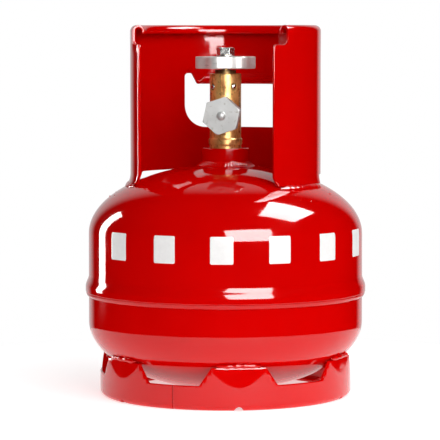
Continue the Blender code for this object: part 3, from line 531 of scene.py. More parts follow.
def head(side, centre, first, last, steps, inset=0):
    """(radius, height) points on a head, between two angles from the axis.

    side is 1 for the upper head and -1 for the lower one.
    """
    radius = TANK_RADIUS - inset
    rise = side * (HEAD_HEIGHT - inset)
    return [(radius * math.sin(angle), centre + rise * math.cos(angle)) for angle in arc(first, last, steps)]


def sheet_wave(azimuth, radius, height):
    """The slight unevenness of a drawn shell, which bends its reflections."""
    spot = around(azimuth, radius, height) * 16
    depth = 0.10 * MM
    return radius - depth * (1 + noise.noise(spot)), height


def make_upper_shell():
    hole = math.asin(BOSS_HOLE / TANK_RADIUS)
    outer = head(1, UPPER_HEAD_Z, hole, math.pi / 2, 44)
    soft = 1.5 * MM
    blend_top = SEAM_Z + BELL_LAP + BELL_BLEND + soft
    blend_foot = SEAM_Z + BELL_LAP - soft
    outer += [(TANK_RADIUS, height) for height in arc(UPPER_HEAD_Z, blend_top, 6)[1:-1]]
    for share in arc(0, 1, 16):
        swell = (1 - math.cos(math.pi * share)) / 2
        outer.append((TANK_RADIUS + (BELL_RADIUS - TANK_RADIUS) * swell,
                      blend_top + (blend_foot - blend_top) * share))
    lip = 0.6 * MM
    for angle in arc(0, math.pi / 2, 4):
        outer.append((BELL_RADIUS - lip * (1 - math.cos(angle)), SEAM_Z + lip * (1 - math.sin(angle))))
    outer.append((BELL_RADIUS - TANK_WALL, SEAM_Z))
    inner = [(BELL_RADIUS - TANK_WALL, SEAM_Z + BELL_LAP),
             (TANK_RADIUS - TANK_WALL, SEAM_Z + BELL_LAP + BELL_BLEND)]
    inner += head(1, UPPER_HEAD_Z, math.pi / 2, hole, 24, TANK_WALL)
    bm = revolve(outer + inner, TANK_STEPS, shell_wave)
    piece("tank_upper_shell", bm, "cylinder", "red_enamel", "upper_shell")


def shell_wave(azimuth, radius, height):
    """Unevenness that fades out towards the bell."""
    waved = sheet_wave(azimuth, radius, height)[0]
    start = SEAM_Z + 8 * MM
    fade = 12 * MM
    share = min(1, max(0, (height - start) / fade))
    return radius + (waved - radius) * share, height


def make_lower_shell():
    rim = SEAM_Z + BELL_LAP - GAP
    outer = [(TANK_RADIUS, rim)]
    outer += head(-1, LOWER_HEAD_Z, math.pi / 2, 0, 52)
    inner = head(-1, LOWER_HEAD_Z, 0, math.pi / 2, 24, TANK_WALL)
    inner.append((TANK_RADIUS - TANK_WALL, rim))
    bm = revolve(outer + inner, TANK_STEPS)
    piece("tank_lower_shell", bm, "cylinder", "red_enamel", "lower_shell")


def make_girth_weld():
    """Machine-laid bead under the bell: fine ripples and a slightly wandering toe."""
    inner = TANK_RADIUS + 0.1 * MM
    top = SEAM_Z - 0.05 * MM
    leg = 3.4 * MM
    width = BELL_RADIUS - 0.5 * MM - inner
    ripples = 380
    crown = [(inner + width * math.cos(angle) ** 0.8, top - leg * math.sin(angle) ** 1.3)
             for angle in arc(0, math.pi / 2 - 0.02, 10)]
    section = crown + [(inner, top - leg), (inner, top)]

    def ripple(azimuth, radius, height):
        if radius <= inner:
            return radius, height
        share = (radius - inner) / width
        spot = around(azimuth, 1, 0)
        crest = 0.10 * MM * math.sin(azimuth * ripples + 2 * noise.noise(spot * 9))
        wander = 0.35 * MM * noise.noise(spot * 11)
        return radius + crest * share, height + wander * (1 - share)

    bm = revolve(section, 4 * TANK_STEPS, ripple)
    piece("girth_bead", bm, "cylinder", "weld_enamel", "girth_weld")


def make_neck():
    """Boss that sits on the crown with its shank in the hole, and the bead round it."""
    seat = top_dome(BOSS_HOLE) + GAP
    shank = BOSS_HOLE - GAP
    foot = CROWN_Z - BOSS_DEPTH
    narrow = 12.4 * MM
    wide = 13.3 * MM
    outline = rounded([(BOSS_RADIUS, BOSS_TOP, 1.2 * MM), (BOSS_RADIUS, seat, 0), (shank, seat, 0),
                       (shank, foot, 0), (narrow, foot, 0), (wide, BOSS_TOP, 0.3 * MM)])
    piece("neck_socket", revolve(outline, VALVE_STEPS), "cylinder", "red_enamel", "neck_boss")
    inner = BOSS_RADIUS + 0.1 * MM
    leg = 4.8 * MM
    rise = 3.8 * MM
    sunk = 0.3 * MM
    face = []
    for share in arc(0, 1, 12):
        radius = inner + leg * share
        face.append((radius, top_dome(radius) + 0.1 * MM + rise * (1 - share) ** 1.6))
    toe = inner + leg
    section = face + [(toe, top_dome(toe) - sunk), (inner, top_dome(inner) - sunk)]

    def ripple(azimuth, radius, height):
        share = (radius - inner) / leg
        if share <= 0 or height < top_dome(radius):
            return radius, height
        crest = 0.22 * MM * math.sin(azimuth * 62 + 5 * share)
        lump = 0.5 * MM * noise.noise(around(azimuth, 60 * radius, 0) * 2.2)
        return radius, height + (crest + lump) * math.sin(math.pi * min(1, share)) ** 0.7

    piece("neck_bead", revolve(section, 360, ripple), "cylinder", "weld_enamel", "neck_weld")


def make_stencil_blocks():
    """Plain white blocks sprayed round the tank."""
    half_width = 9 * MM
    foot = 115.2 * MM
    top = 136.6 * MM
    skin = 0.09 * MM
    corner = 1.2 * MM
    first = math.radians(-31.7)
    pitch = math.radians(23.85)
    for index in range(6):
        middle = first + pitch * index
        outline = rounded([(-half_width, top, corner), (-half_width, foot, corner),
                           (half_width, foot, corner), (half_width, top, corner)])
        bm = plate([outline], skin, 0.03 * MM)
        score(bm, 0, arc(-half_width, half_width, 12)[1:-1])
        score(bm, 1, arc(foot, top, 12)[1:-1])

        def section(u, v):
            radius = shell_wave(middle + u / TANK_RADIUS, shell_radius(v), v)[0]
            return Vector((radius + skin * 0.45, v)), Vector((1, 0))

        roll(bm, section, lambda u: middle + u / TANK_RADIUS)
        piece(f"stencil_block_{index + 1}", bm, "cylinder", "white_paint")


# Guard collar

COLLAR_MIDDLE = COLLAR_RADIUS - COLLAR_WALL / 2
COLLAR_EDGE = top_dome(COLLAR_RADIUS) + COLLAR_DRAIN
RIM_LINE = COLLAR_TOP - RIM_BEND
RIM_MIDDLE = RIM_BEND - COLLAR_WALL / 2
RIM_LENGTH = math.pi * RIM_MIDDLE
HEM_LINE = WINDOW_TOP + HEM_BEND
HEM_MIDDLE = HEM_BEND - COLLAR_WALL / 2
HEM_LENGTH = math.pi * HEM_MIDDLE
WINDOW_END = COLLAR_MIDDLE * WINDOW_HALF_ANGLE
FLARE_LINE = COLLAR_EDGE + 1 * MM


def foot_point(reach, depth):
    """Point of a collar foot at a length below the flare line, off the sheet's middle by a depth."""
    point, normal = folded((COLLAR_MIDDLE, FLARE_LINE), reach, FOOT_BEND, FOOT_FLARE, -1, 1)
    return point + normal * depth


def foot_clear(reach):
    """Whether both faces of a collar foot this long are still above the dome."""
    ends = [foot_point(reach, COLLAR_WALL / 2), foot_point(reach, -COLLAR_WALL / 2)]
    return all(end[1] > top_dome(end[0]) + 0.1 * MM for end in ends)


FOOT_REACH = max(reach * 0.1 * MM for reach in range(400) if foot_clear(reach * 0.1 * MM))


def collar_section(u, v):
    """Middle of the bent sheet and its normal: curled at the rim, hemmed at the window, flared below."""
    if v > RIM_LINE:
        return folded((COLLAR_MIDDLE, RIM_LINE), v - RIM_LINE, RIM_MIDDLE, math.pi, 1, -1)
    if v < FLARE_LINE:
        return folded((COLLAR_MIDDLE, FLARE_LINE), FLARE_LINE - v, FOOT_BEND, FOOT_FLARE, -1, 1)
    flap = HEM_LINE - HEM_LENGTH - HEM_LEG - 0.1 * MM
    if abs(u) < WINDOW_END - RELIEF_WIDTH / 2 and flap < v < HEM_LINE:
        return folded((COLLAR_MIDDLE, HEM_LINE), HEM_LINE - v, HEM_MIDDLE, math.pi, -1, -1)
    return Vector((COLLAR_MIDDLE, v)), Vector((1, 0))


def waved_collar(u, v):
    """The rolled sheet with the slight flats that the rolls leave."""
    point, normal = collar_section(u, v)
    below_rim = min(1, max(0, (RIM_LINE - v) / (20 * MM)))
    above_flare = min(1, max(0, (v - FLARE_LINE) / (10 * MM)))
    wave = 0.25 * MM * noise.noise(Vector((u * 22, v * 9, 3)))
    return point + Vector((wave * (below_rim * above_flare), 0)), normal


def collar_outline():
    end = COLLAR_MIDDLE * (math.pi - MOUTH_HALF_ANGLE)
    notch = COLLAR_MIDDLE * (math.pi - MOUTH_HALF_ANGLE - NOTCH_ANGLE)
    notch_z = COLLAR_TOP - NOTCH_DEPTH
    foot_z = FLARE_LINE - FOOT_REACH
    slope = 3 * MM
    corners = [(notch, RIM_LINE + RIM_LENGTH + RIM_LEG, 0.6 * MM), (notch, notch_z, 3.5 * MM),
               (end, notch_z, 3 * MM), (end, COLLAR_EDGE, 1 * MM)]
    for near, far in FOOT_SPANS:
        front = COLLAR_MIDDLE * (math.pi - near)
        back = COLLAR_MIDDLE * (math.pi - far)
        if near > FOOT_SPANS[0][0]:
            corners.append((front + slope, COLLAR_EDGE, 2 * MM))
        corners += [(front, foot_z, 1.5 * MM), (back, foot_z, 1.5 * MM),
                    (back - slope, COLLAR_EDGE, 2 * MM)]
    return rounded(mirrored(corners))


def window_outline():
    slot = WINDOW_END - RELIEF_WIDTH
    slot_top = WINDOW_TOP + RELIEF_RISE
    flap = HEM_LINE - HEM_LENGTH - HEM_LEG
    taper = 5 * MM
    corners = [(slot - 2 * taper, flap, 1 * MM), (slot - taper, WINDOW_TOP, 0),
               (slot, slot_top, 0.3 * RELIEF_WIDTH), (WINDOW_END, slot_top, 0.45 * RELIEF_WIDTH),
               (WINDOW_END, WINDOW_LOW, WINDOW_CORNER)]
    return rounded(mirrored(corners), math.radians(5))


def make_collar():
    bm = plate([collar_outline(), window_outline()], COLLAR_WALL, EDGE)
    stations = int((math.pi - MOUTH_HALF_ANGLE) / ROLL_STEP)
    score(bm, 0, [COLLAR_MIDDLE * ROLL_STEP * step for step in range(-stations, stations + 1)])
    score(bm, 1, arc(RIM_LINE, RIM_LINE + RIM_LENGTH, 18))
    score(bm, 1, arc(FLARE_LINE, FLARE_LINE - FOOT_REACH, 5)[:-1])
    score(bm, 1, arc(HEM_LINE, HEM_LINE - HEM_LENGTH, 10), WINDOW_END - RELIEF_WIDTH / 2)
    score(bm, 1, arc(WINDOW_LOW - 20 * MM, RIM_LINE - 6 * MM, 8))
    roll(bm, waved_collar, lambda u: math.pi + u / COLLAR_MIDDLE)
    piece("guard_collar", bm, "cylinder", "red_enamel", "collar")


def bead(section, start, end, lumps, seed):
    """Hand-laid bead: a closed section swept between two azimuths, tapering and lumpy.

    lumps is how many there are in a metre, and seed gives each bead its own.
    """
    steps = max(12, round((end - start) / math.radians(0.6)))
    core = sum((Vector(point) for point in section), Vector((0, 0))) / len(section)
    bm = bmesh.new()
    rings = []
    for share in arc(0, 1, steps):
        azimuth = start + (end - start) * share
        taper = min(1, 0.25 + 5 * share, 0.25 + 5 * (1 - share))
        ripple = 1 + 0.10 * math.sin(share * steps * 0.95)
        ring = []
        for point in section:
            spot = around(azimuth, point[0], point[1]) * lumps + Vector((seed, 0, 0))
            size = taper * ripple * (1 + 0.35 * noise.noise(spot))
            ring.append(bm.verts.new(around(azimuth, *(core + (Vector(point) - core) * size))))
        rings.append(ring)
    for here, there in zip(rings, rings[1:]):
        join_rings(bm, here, there)
    bm.faces.new(rings[0])
    bm.faces.new(reversed(rings[-1]))
    bmesh.ops.recalc_face_normals(bm, faces=bm.faces)
    return bm


def fat_section(corner, along, up, size):
    """Round bead section in the corner between two surfaces, as (radius, height) points."""
    middle = 0.25
    radius = 0.62
    return [corner + along * size * (middle + radius * math.cos(angle))
            + up * size * (middle + radius * math.sin(angle)) for angle in circle(BEAD_SIDES)]


def make_collar_welds():
    """Fillets outside the collar's four feet."""
    skin = foot_point(FOOT_REACH, COLLAR_WALL / 2)
    outwards = skin[0] + 1 * MM
    slope = Vector((outwards, top_dome(outwards))) - Vector((skin[0], top_dome(skin[0])))
    up = (foot_point(FOOT_REACH - 2 * MM, COLLAR_WALL / 2) - skin).normalized()
    corner = Vector((skin[0], top_dome(skin[0])))
    section = fat_section(corner, slope.normalized(), up, 3.6 * MM)
    inset = math.radians(1)
    number = 1
    for side in (1, -1):
        for near, far in FOOT_SPANS:
            start, end = sorted((side * (near + inset), side * (far - inset)))
            bm = bead(section, start, end, 160, number * 7.3)
            piece(f"collar_bead_{number}", bm, "cylinder", "weld_enamel", f"collar_weld_{number}")
            number += 1


# Foot ring

FOOT_MIDDLE = FOOT_RADIUS - FOOT_WALL / 2
FLANGE_MIDDLE = FLANGE_BEND - FOOT_WALL / 2
FLANGE_LENGTH = math.pi / 2 * FLANGE_MIDDLE
FOOT_PITCH = math.tau / FOOT_WINDOWS
FOOT_TURN = math.pi * FOOT_MIDDLE
LAND_PITCH = FOOT_PITCH * FOOT_MIDDLE
FOOT_WINDOW_TOP = FOOT_WINDOW_BASE + 2 * FOOT_WINDOW_FLARE * (LAND_TOP - FOOT_WINDOW_SILL)


def foot_outline():
    left = -FOOT_TURN + SEAM_GAP / 2
    bottom = FLANGE_BEND - FLANGE_LENGTH - FLANGE_LEG
    half_base = FOOT_WINDOW_BASE / 2
    half_top = FOOT_WINDOW_TOP / 2
    corners = [(left, FOOT_WINDOW_SILL, 0)]
    for window in range(FOOT_WINDOWS):
        centre = -FOOT_TURN + window * LAND_PITCH
        following = centre + LAND_PITCH
        if window:
            corners.append((centre - half_base, FOOT_WINDOW_SILL, 2 * MM))
        corners += [(centre + half_base, FOOT_WINDOW_SILL, 2 * MM),
                    (centre + half_top, LAND_TOP, 1 * MM), (following - half_top, LAND_TOP, 1 * MM)]
    corners += [(-left - half_base, FOOT_WINDOW_SILL, 2 * MM), (-left, FOOT_WINDOW_SILL, 0),
                (-left, bottom, 0)]
    half_drain = DRAIN_WIDTH / 2
    round_end = half_drain - 0.05 * MM
    for land in reversed(range(FOOT_WINDOWS)):
        centre = -FOOT_TURN + (land + 0.5) * LAND_PITCH
        corners += [(centre + half_drain, bottom, 0), (centre + half_drain, DRAIN_TOP, round_end),
                    (centre - half_drain, DRAIN_TOP, round_end), (centre - half_drain, bottom, 0)]
    corners.append((left, bottom, 0))
    return rounded(corners)


def foot_section(u, v):
    """Middle of the bent strip and its normal: a flange below and a lean at the top of each land."""
    if v < FLANGE_BEND:
        return folded((FOOT_MIDDLE, FLANGE_BEND), FLANGE_BEND - v, FLANGE_MIDDLE, math.pi / 2, -1, -1)
    off_land = abs((u + FOOT_TURN) % LAND_PITCH - LAND_PITCH / 2)
    half_land = (LAND_PITCH - FOOT_WINDOW_TOP) / 2
    crease = CREASE_HEIGHT + (LAND_TOP - CREASE_HEIGHT) * (off_land / half_land) ** 2
    past = max(0, v - crease) / (LAND_TOP - CREASE_HEIGHT)
    soft = past * past * (3 - 2 * past) if past < 0.5 else past
    return Vector((FOOT_MIDDLE - CREASE_LEAN * soft, v)), Vector((1, 0))


def make_foot_ring():
    bm = plate([foot_outline()], FOOT_WALL, EDGE)
    stations = round(math.pi / ROLL_STEP)
    score(bm, 0, [FOOT_MIDDLE * ROLL_STEP * step for step in range(1 - stations, stations)])
    score(bm, 1, arc(FLANGE_BEND, FLANGE_BEND - FLANGE_LENGTH, 10))
    score(bm, 1, arc(CREASE_HEIGHT, LAND_TOP, 12)[:-1])
    start = FOOT_WINDOW_AZIMUTH + math.pi
    roll(bm, foot_section, lambda u: start + u / FOOT_MIDDLE)
    piece("foot_skirt", bm, "cylinder", "red_enamel", "foot_ring")


def make_foot_welds():
    """Fillets between the top of each land and the lower head."""
    middle = Vector((FOOT_RADIUS - CREASE_LEAN, LAND_TOP)) + Vector((0.2 * MM, 1.3 * MM))
    wide = 1.5 * MM
    high_up = 1.6 * MM
    section = [middle + Vector((wide * math.cos(angle), high_up * math.sin(angle)))
               for angle in circle(BEAD_SIDES)]
    reach = math.radians(10)
    for land in range(FOOT_WINDOWS):
        centre = FOOT_WINDOW_AZIMUTH + (land + 0.5) * FOOT_PITCH
        bm = bead(section, centre - reach, centre + reach, 260, 40 + land * 5.1)
        piece(f"foot_bead_{land + 1}", bm, "cylinder", "weld_enamel", f"foot_weld_{land + 1}")


# Valve

def solid(name, bm, place=None):
    """A bare mesh object, for joining to a piece."""
    thing = bpy.data.objects.new(name, mesh_from(name, bm, place))
    link(thing)
    return thing


def combine(bm, tools):
    """Applies (operation, mesh, place) booleans in turn and gives the result as an editable mesh."""
    base = solid("base", bm)
    for operation, tool_bm, place in tools:
        tool = solid("tool", tool_bm, place)
        cut = base.modifiers.new(operation, "BOOLEAN")
        cut.operation = operation
        cut.object = tool
        mesh = evaluated_mesh(base)
        base.modifiers.clear()
        base.data = mesh
        bpy.data.objects.remove(tool)
    result = bmesh.new()
    result.from_mesh(base.data)
    bmesh.ops.dissolve_degenerate(result, edges=result.edges, dist=0.002 * MM)
    bpy.data.objects.remove(base)
    return result


def rod(radius, start, end, steps=VALVE_STEPS):
    """A cylinder along Z."""
    return revolve([(0, end), (radius, end), (radius, start), (0, start)], steps)


def brick(lowest, highest):
    bm = bmesh.new()
    lowest = Vector(lowest)
    highest = Vector(highest)
    place = Matrix.Translation((lowest + highest) / 2) @ Matrix.Diagonal((*(highest - lowest), 1))
    bmesh.ops.create_cube(bm, size=1, matrix=place)
    return bm


def ball_azimuth(index):
    return BALL_FROM_OUTLET + math.tau * (index + 0.5) / BALLS


def to_side(azimuth, distance, height):
    """Places something along Z so that it points out of the valve at an azimuth."""
    return (Matrix.Translation(around(azimuth, distance, height)) @ Matrix.Rotation(azimuth, 4, "Z")
            @ Matrix.Rotation(math.pi / 2, 4, "X"))


def make_valve_body():
    """Forging with its port, parting flash, a pocket for the bonnet and drillings for the balls."""
    shank_end = low("valve_body").z
    outline = rounded([(0, BODY_TOP, 0), (BODY_RADIUS, BODY_TOP, 0.8 * MM),
                       (BODY_RADIUS, RING_TOP + 1 * MM, 1 * MM), (RING_RADIUS, RING_TOP, 0.5 * MM),
                       (RING_RADIUS, RING_FOOT, 0.6 * MM), (12.9 * MM, RING_FOOT - 0.8 * MM, 0.2 * MM),
                       (12.7 * MM, BOSS_TOP, 0), (12.0 * MM, shank_end, 0.5 * MM), (0, shank_end, 0)])
    to_port = Matrix.Translation((0, 0, OUTLET_Z)) @ Matrix.Rotation(math.pi / 2, 4, "X")
    root = THREAD_RADIUS - 1.1 * MM
    port_end = OUTLET_FACE - 1.2 * MM
    port = rounded([(0, port_end, 0), (root, port_end, 0), (root, SHOULDER_END, 0.4 * MM),
                    (SHOULDER_RADIUS, SHOULDER_END, 0.6 * MM), (SHOULDER_RADIUS, 0, 0), (0, 0, 0)])
    half_flash = 0.45 * MM
    proud = BODY_RADIUS + 0.5 * MM
    flash = brick((-half_flash, -proud, RING_TOP + 2 * MM), (half_flash, proud, BODY_TOP - 1.5 * MM))
    seam = Matrix.Rotation(math.radians(-11), 4, "Z")
    pocket = rod(BONNET_BORE, BODY_TOP - 17 * MM, BODY_TOP + THROUGH)
    tools = [("UNION", flash, seam), ("UNION", revolve(port, VALVE_STEPS), to_port),
             ("DIFFERENCE", pocket, None)]
    hole = BALL_RADIUS + GAP
    mouth = hole + 1.9 * MM
    reach = BODY_RADIUS + 2 * MM
    skin = BODY_RADIUS - 0.5 * MM
    bottom = BONNET_BORE - 2 * MM
    for index in range(BALLS):
        drill = revolve([(0, reach), (mouth, reach), (hole, skin), (hole, bottom), (0, bottom)], SMALL_STEPS)
        tools.append(("DIFFERENCE", drill, to_side(ball_azimuth(index), 0, BALL_Z)))
    bore = rod(OUTLET_BORE, BONNET_BORE - THROUGH, OUTLET_FACE + THROUGH, SMALL_STEPS)
    tools.append(("DIFFERENCE", bore, to_port))
    forging = combine(revolve(outline, VALVE_STEPS), tools)
    piece("valve_forging", forging, "cylinder", "brass", "valve_body", TO_VALVE)


def thread_radius(azimuth, height, crest, depth):
    """Left-hand screw thread with rounded crests and roots."""
    phase = height / THREAD_PITCH - azimuth / math.tau
    return crest - depth * (0.5 - 0.5 * math.cos(math.tau * phase))


def make_outlet_thread():
    start = SHOULDER_END + 0.2 * MM
    end = OUTLET_FACE
    bore = OUTLET_BORE + 0.02 * MM
    heights = arc(end - 1.3 * MM, start, 96)
    tip = [(bore, end), (THREAD_RADIUS - 1.5 * MM, end)]
    profile = tip + [(THREAD_RADIUS, height) for height in heights] + [(bore, start)]

    def cut(azimuth, radius, height):
        if radius < THREAD_RADIUS:
            return radius, height
        runout = min(1, (height - start) / (1.2 * MM))
        return thread_radius(azimuth, height, THREAD_RADIUS, 1.05 * MM * runout), height

    piece("outlet_thread", revolve(profile, VALVE_STEPS, cut), "cylinder", "brass", place=TO_OUTLET)


def make_bonnet():
    well_roof = BODY_TOP - 13.7 * MM
    foot = low("bonnet").z
    radius = BONNET_BORE - GAP
    hub = 8.5 * MM
    bore = SPINDLE_RADIUS + GAP
    outline = rounded([(bore, BONNET_TOP, 0.3 * MM), (hub, BONNET_TOP, 0.5 * MM),
                       (hub, BODY_TOP - 0.4 * MM, 0.2 * MM), (radius, BODY_TOP - 0.4 * MM, 0.4 * MM),
                       (radius, BALL_Z + 2.8 * MM, 0), (radius - 1.9 * MM, BALL_Z, 0),
                       (radius, BALL_Z - 2.8 * MM, 0), (radius, foot, 0), (7.3 * MM, foot, 0),
                       (7.3 * MM, well_roof, 0), (bore, well_roof, 0)])
    # The bonnet gets the darkened brass, which paints the handwheel's shade on it.
    piece("spindle_bonnet", revolve(outline, VALVE_STEPS), "cylinder", "dark_brass", "bonnet", TO_VALVE)


def make_lock_balls():
    for index in range(BALLS):
        bm = bmesh.new()
        bmesh.ops.create_icosphere(bm, subdivisions=4, radius=BALL_RADIUS)
        place = TO_VALVE @ Matrix.Translation(around(ball_azimuth(index), BALL_CENTRE, BALL_Z))
        name = f"lock_ball_{index + 1}"
        piece(f"bearing_ball_{index + 1}", bm, "cylinder", "bright_steel", name, place)


def make_handwheel():
    """Die-cast wheel: six lobes, a dished top, a hub below and a web between them."""
    count = 26 * WHEEL_LOBES
    middle = WHEEL_RADIUS - WHEEL_SCALLOP / 2
    outline = []
    for step in range(count):
        angle = math.tau * step / count
        radius = middle + WHEEL_SCALLOP / 2 * math.cos(WHEEL_LOBES * angle)
        turn = angle + WHEEL_LOBE_ANGLE
        outline.append((radius * math.cos(turn), radius * math.sin(turn)))
    bm = plate([outline], WHEEL_HIGH - WHEEL_LOW, 0)
    bmesh.ops.bevel(bm, geom=rim_edges(bm), offset=0.9 * MM, segments=4, profile=0.5, affect="EDGES")
    bmesh.ops.translate(bm, verts=bm.verts, vec=(0, 0, (WHEEL_LOW + WHEEL_HIGH) / 2))
    below = WHEEL_LOW - THROUGH
    above = WHEEL_HIGH + THROUGH
    hub = 8.2 * MM
    well = 17 * MM
    well_top = WHEEL_LOW + 6 * MM
    under = rounded([(hub, well_top, 1 * MM), (well - 1 * MM, well_top, 1.2 * MM),
                     (well, below, 0), (hub - 0.3 * MM, below, 0)])
    dish_low = WHEEL_HIGH - 0.9 * MM
    dish = rounded([(hub, above, 0), (well + 2 * MM, above, 0),
                    (well - 1 * MM, dish_low, 1 * MM), (hub + 0.4 * MM, dish_low, 0.4 * MM)])
    hole = 3.1 * MM
    square = brick((-hole, -hole, below), (hole, hole, above))
    wheel = combine(bm, [("DIFFERENCE", revolve(under, VALVE_STEPS), None),
                         ("DIFFERENCE", revolve(dish, VALVE_STEPS), None), ("DIFFERENCE", square, None)])
    piece("lobed_wheel", wheel, "handwheel", "cast_aluminium", "handwheel", TO_VALVE, flat_faces=True)


def hexagon(across_flats, start, end, corner_angle):
    """Hexagonal prism along Z with its long edges broken."""
    corner = across_flats / math.sqrt(3)
    turn = Matrix.Rotation(corner_angle - math.pi / 2, 4, "Z")
    place = Matrix.Translation((0, 0, (start + end) / 2)) @ turn
    bm = bmesh.new()
    bmesh.ops.create_cone(bm, cap_ends=True, segments=6, radius1=corner, radius2=corner,
                          depth=end - start, matrix=place)
    edges = [edge for edge in bm.edges if abs(edge.verts[0].co.z - edge.verts[1].co.z) > 1 * MM]
    bmesh.ops.bevel(bm, geom=edges, offset=0.35 * MM, segments=3, profile=0.5, affect="EDGES")
    return bm


def barrel(across_flats, start, end, face_radius, both, crown=None):
    """Turned envelope whose cone chamfers a hexagon's corners at the end, or at both ends.

    crown is what stands on the end, as rounded() corners.
    """
    outer = across_flats / math.sqrt(3) + 1 * MM
    drop = (outer - face_radius) * math.tan(math.radians(30))
    if both:
        base = [(outer, start + drop, 0), (face_radius, start, 0.3 * MM), (0, start, 0)]
    else:
        base = [(outer, start - THROUGH, 0), (0, start - THROUGH, 0)]
    top = crown or [(0, end, 0)]
    outline = rounded([*top, (face_radius, end, 0.5 * MM), (outer, end - drop, 0), *base])
    return revolve(outline, VALVE_STEPS)


def make_wheel_fixing():
    wide = 13 * MM
    bore = SPINDLE_RADIUS + GAP
    above = NUT_HIGH + THROUGH
    sink = NUT_HIGH - 0.7 * MM
    countersink = revolve([(0, above), (5.9 * MM, above), (4.2 * MM, sink), (0, sink)], VALVE_STEPS)
    nut = combine(hexagon(wide, NUT_LOW, NUT_HIGH, 0),
                  [("INTERSECT", barrel(wide, NUT_LOW, NUT_HIGH, 6.1 * MM, False), None),
                   ("DIFFERENCE", rod(bore, NUT_LOW - THROUGH, above), None),
                   ("DIFFERENCE", countersink, None)])
    piece("hex_nut", nut, "handwheel", "bright_steel", "wheel_nut", TO_VALVE, flat_faces=True)
    lowest = low("wheel_washer").z
    highest = high("wheel_washer").z
    rim = 7.6 * MM
    edge = 0.2 * MM
    outline = rounded([(bore, highest, 0), (rim, highest, edge), (rim, lowest, edge), (bore, lowest, 0)])
    washer = revolve(outline, VALVE_STEPS)
    piece("flat_washer", washer, "handwheel", "bright_steel", "wheel_washer", TO_VALVE)


def make_outlet_cap():
    rear = CAP_FACE - CAP_LENGTH
    face_radius = CAP_ACROSS_FLATS / 2 + 1.1 * MM
    nub = 3.3 * MM
    rise = 2.6 * MM
    fillet = 0.5 * MM
    dome = [(nub * math.sin(angle), CAP_FACE + fillet + (rise - fillet) * math.cos(angle), 0)
            for angle in arc(0, math.pi / 2, 14)]
    foot = [(nub + fillet * (1 - math.sin(angle)), CAP_FACE + fillet * (1 - math.cos(angle)), 0)
            for angle in arc(math.pi / 2, 0, 5)]
    bore_end = CAP_FACE - 3.9 * MM
    side = THREAD_RADIUS + GAP
    behind = rear - 0.5 * MM
    bore = revolve([(0, bore_end), (side, bore_end), (side, rear + 1 * MM),
                    (THREAD_RADIUS + 1.8 * MM, behind), (0, behind)], VALVE_STEPS)
    envelope = barrel(CAP_ACROSS_FLATS, rear, CAP_FACE, face_radius, True, dome[:-1] + foot)
    prism = hexagon(CAP_ACROSS_FLATS, rear - THROUGH, CAP_FACE + rise + THROUGH, CAP_CORNER_ANGLE)
    cap = combine(prism, [("INTERSECT", envelope, None), ("DIFFERENCE", bore, None)])
    piece("blanking_cap", cap, "cap", "plated_cap", "outlet_cap", TO_OUTLET, flat_faces=True)


def make_spatter():
    """Small drops of weld metal under the enamel, near the boss and the collar's feet."""
    draw = random.Random(7)
    bm = bmesh.new()
    spots = [(draw.uniform(0, math.tau), draw.uniform(26, 34) * MM) for _ in range(10)]
    for side in (1, -1):
        for near, far in FOOT_SPANS:
            for _ in range(5):
                spots.append((side * draw.uniform(near, far), draw.uniform(86, 95) * MM))
    for azimuth, radius in spots:
        size = draw.uniform(0.35, 0.8) * MM
        centre = around(azimuth, radius, top_dome(radius) - 0.3 * size)
        bmesh.ops.create_icosphere(bm, subdivisions=2, radius=size, matrix=Matrix.Translation(centre))
    piece("weld_spatter", bm, "cylinder", "red_enamel")


make_upper_shell()
make_lower_shell()
make_girth_weld()
make_neck()
make_stencil_blocks()
make_collar()
make_collar_welds()
make_foot_ring()
make_foot_welds()
make_valve_body()
make_outlet_thread()
make_bonnet()
make_lock_balls()
make_handwheel()
make_wheel_fixing()
make_outlet_cap()
make_spatter()


# Studio: a white table in a dark room with a white backdrop, three boxes that show as highlights
# and two that light

VIEW_AZIMUTH = math.radians(17.5)
VIEW_DISTANCE = 2.0
EYE_HEIGHT = 0.295
FOCAL_PIXELS = 2470
PICTURE_PIXELS = 440
SENSOR = 36
HORIZON = 190               # picture's middle below the horizon, in pixels
SIDESTEP = 5.5              # tank's axis right of the picture's middle, in pixels
TABLE_RADIUS = 0.36


def make_camera():
    data = bpy.data.cameras.new("camera")
    data.sensor_width = SENSOR
    data.lens = FOCAL_PIXELS / PICTURE_PIXELS * SENSOR
    data.clip_start = 0.05
    camera = bpy.data.objects.new("camera", data)
    camera.location = around(VIEW_AZIMUTH, VIEW_DISTANCE, EYE_HEIGHT)
    pitch = math.atan(HORIZON / FOCAL_PIXELS)
    yaw = math.atan(SIDESTEP / FOCAL_PIXELS)
    camera.rotation_euler = (math.pi / 2 - pitch, 0, VIEW_AZIMUTH + yaw)
    link(camera)
    bpy.context.scene.camera = camera


def make_floor():
    bm = bmesh.new()
    bmesh.ops.create_circle(bm, cap_ends=True, segments=128, radius=TABLE_RADIUS)
    mesh = mesh_from("table", bm)
    floor = bpy.data.objects.new("table", mesh)
    material = principled("table_white", (0.86, 0.86, 0.86), 0.9, Emission_Strength=0.55)
    material.node_tree.nodes["Principled BSDF"].inputs["Emission Color"].default_value = (1, 1, 1, 1)
    mesh.materials.append(material)
    link(floor)


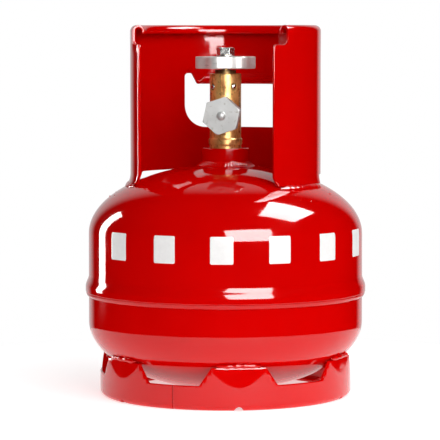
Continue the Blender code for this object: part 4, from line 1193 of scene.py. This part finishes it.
def make_soft_box(name, side, rise, distance, size, radiance, kind="glossy"):
    """Area light aimed at the tank's shoulder. side is its azimuth from the camera's, in degrees.

    A glossy one only shows in reflections, and a diffuse one only lights what scatters light.
    """
    azimuth = VIEW_AZIMUTH + math.radians(side)
    rise = math.radians(rise)
    target = Vector((0, 0, 0.14))
    data = bpy.data.lights.new(name, "AREA")
    data.shape = "RECTANGLE"
    data.size, data.size_y = size
    data.energy = radiance * math.pi * size[0] * size[1]
    lamp = bpy.data.objects.new(name, data)
    offset = around(azimuth, distance * math.cos(rise), distance * math.sin(rise))
    lamp.location = target + offset
    lamp.rotation_euler = (-offset).to_track_quat("-Z", "Y").to_euler()
    lamp.visible_diffuse = kind == "diffuse"
    lamp.visible_glossy = kind == "glossy"
    lamp.visible_camera = False
    link(lamp)


def background(tree, strength):
    node = tree.nodes.new("ShaderNodeBackground")
    node.inputs["Color"].default_value = (1, 1, 1, 1)
    node.inputs["Strength"].default_value = strength
    return node


def choose(tree, factor, off, on):
    """Shader that is one where a factor is 0 and the other where it is 1."""
    node = tree.nodes.new("ShaderNodeMixShader")
    for socket, source in enumerate((factor, off.outputs[0], on.outputs[0])):
        tree.links.new(source, node.inputs[socket])
    return node


def make_room():
    """The camera sees white all round. Reflections see a dark room with a white wall behind."""
    world = bpy.data.worlds.new("room")
    bpy.context.scene.world = world
    world.use_nodes = True
    tree = world.node_tree
    tree.nodes.clear()
    output = tree.nodes.new("ShaderNodeOutputWorld")
    rays = tree.nodes.new("ShaderNodeLightPath")
    direction = tree.nodes.new("ShaderNodeTexCoord")
    towards = tree.nodes.new("ShaderNodeVectorMath")
    towards.operation = "DOT_PRODUCT"
    towards.inputs[1].default_value = around(VIEW_AZIMUTH + math.pi, 1, 0)
    flattened = tree.nodes.new("ShaderNodeMapping")
    flattened.inputs["Scale"].default_value = (1, 1, 0.35)
    level = tree.nodes.new("ShaderNodeVectorMath")
    level.operation = "NORMALIZE"
    tree.links.new(direction.outputs["Generated"], flattened.inputs["Vector"])
    tree.links.new(flattened.outputs["Vector"], level.inputs[0])
    tree.links.new(level.outputs["Vector"], towards.inputs[0])
    wall = tree.nodes.new("ShaderNodeMapRange")
    wall.interpolation_type = "SMOOTHSTEP"
    for socket, number in (("From Min", 0.80), ("From Max", 0.92), ("To Min", 0.0), ("To Max", 0.9)):
        wall.inputs[socket].default_value = number
    tree.links.new(towards.outputs["Value"], wall.inputs["Value"])
    seen = tree.nodes.new("ShaderNodeBackground")
    tree.links.new(wall.outputs["Result"], seen.inputs["Strength"])
    unseen = choose(tree, rays.outputs["Is Glossy Ray"], background(tree, 0.44), seen)
    whole = choose(tree, rays.outputs["Is Camera Ray"], unseen, background(tree, 1.0))
    tree.links.new(whole.outputs[0], output.inputs["Surface"])


make_camera()
make_floor()
make_room()
make_soft_box("front_box", 20, 20, 1.6, (1.05, 0.95), 22)
make_soft_box("side_strip", -122, 12, 1.3, (0.25, 0.95), 18)
make_soft_box("top_box", 92, 58, 1.4, (0.75, 0.65), 24)
make_soft_box("key", 22, 25, 1.6, (1.05, 0.95), 3.0, "diffuse")
make_soft_box("fill", 55, 45, 1.6, (0.9, 0.9), 2.6, "diffuse")
bpy.context.scene.view_settings.view_transform = "Standard"
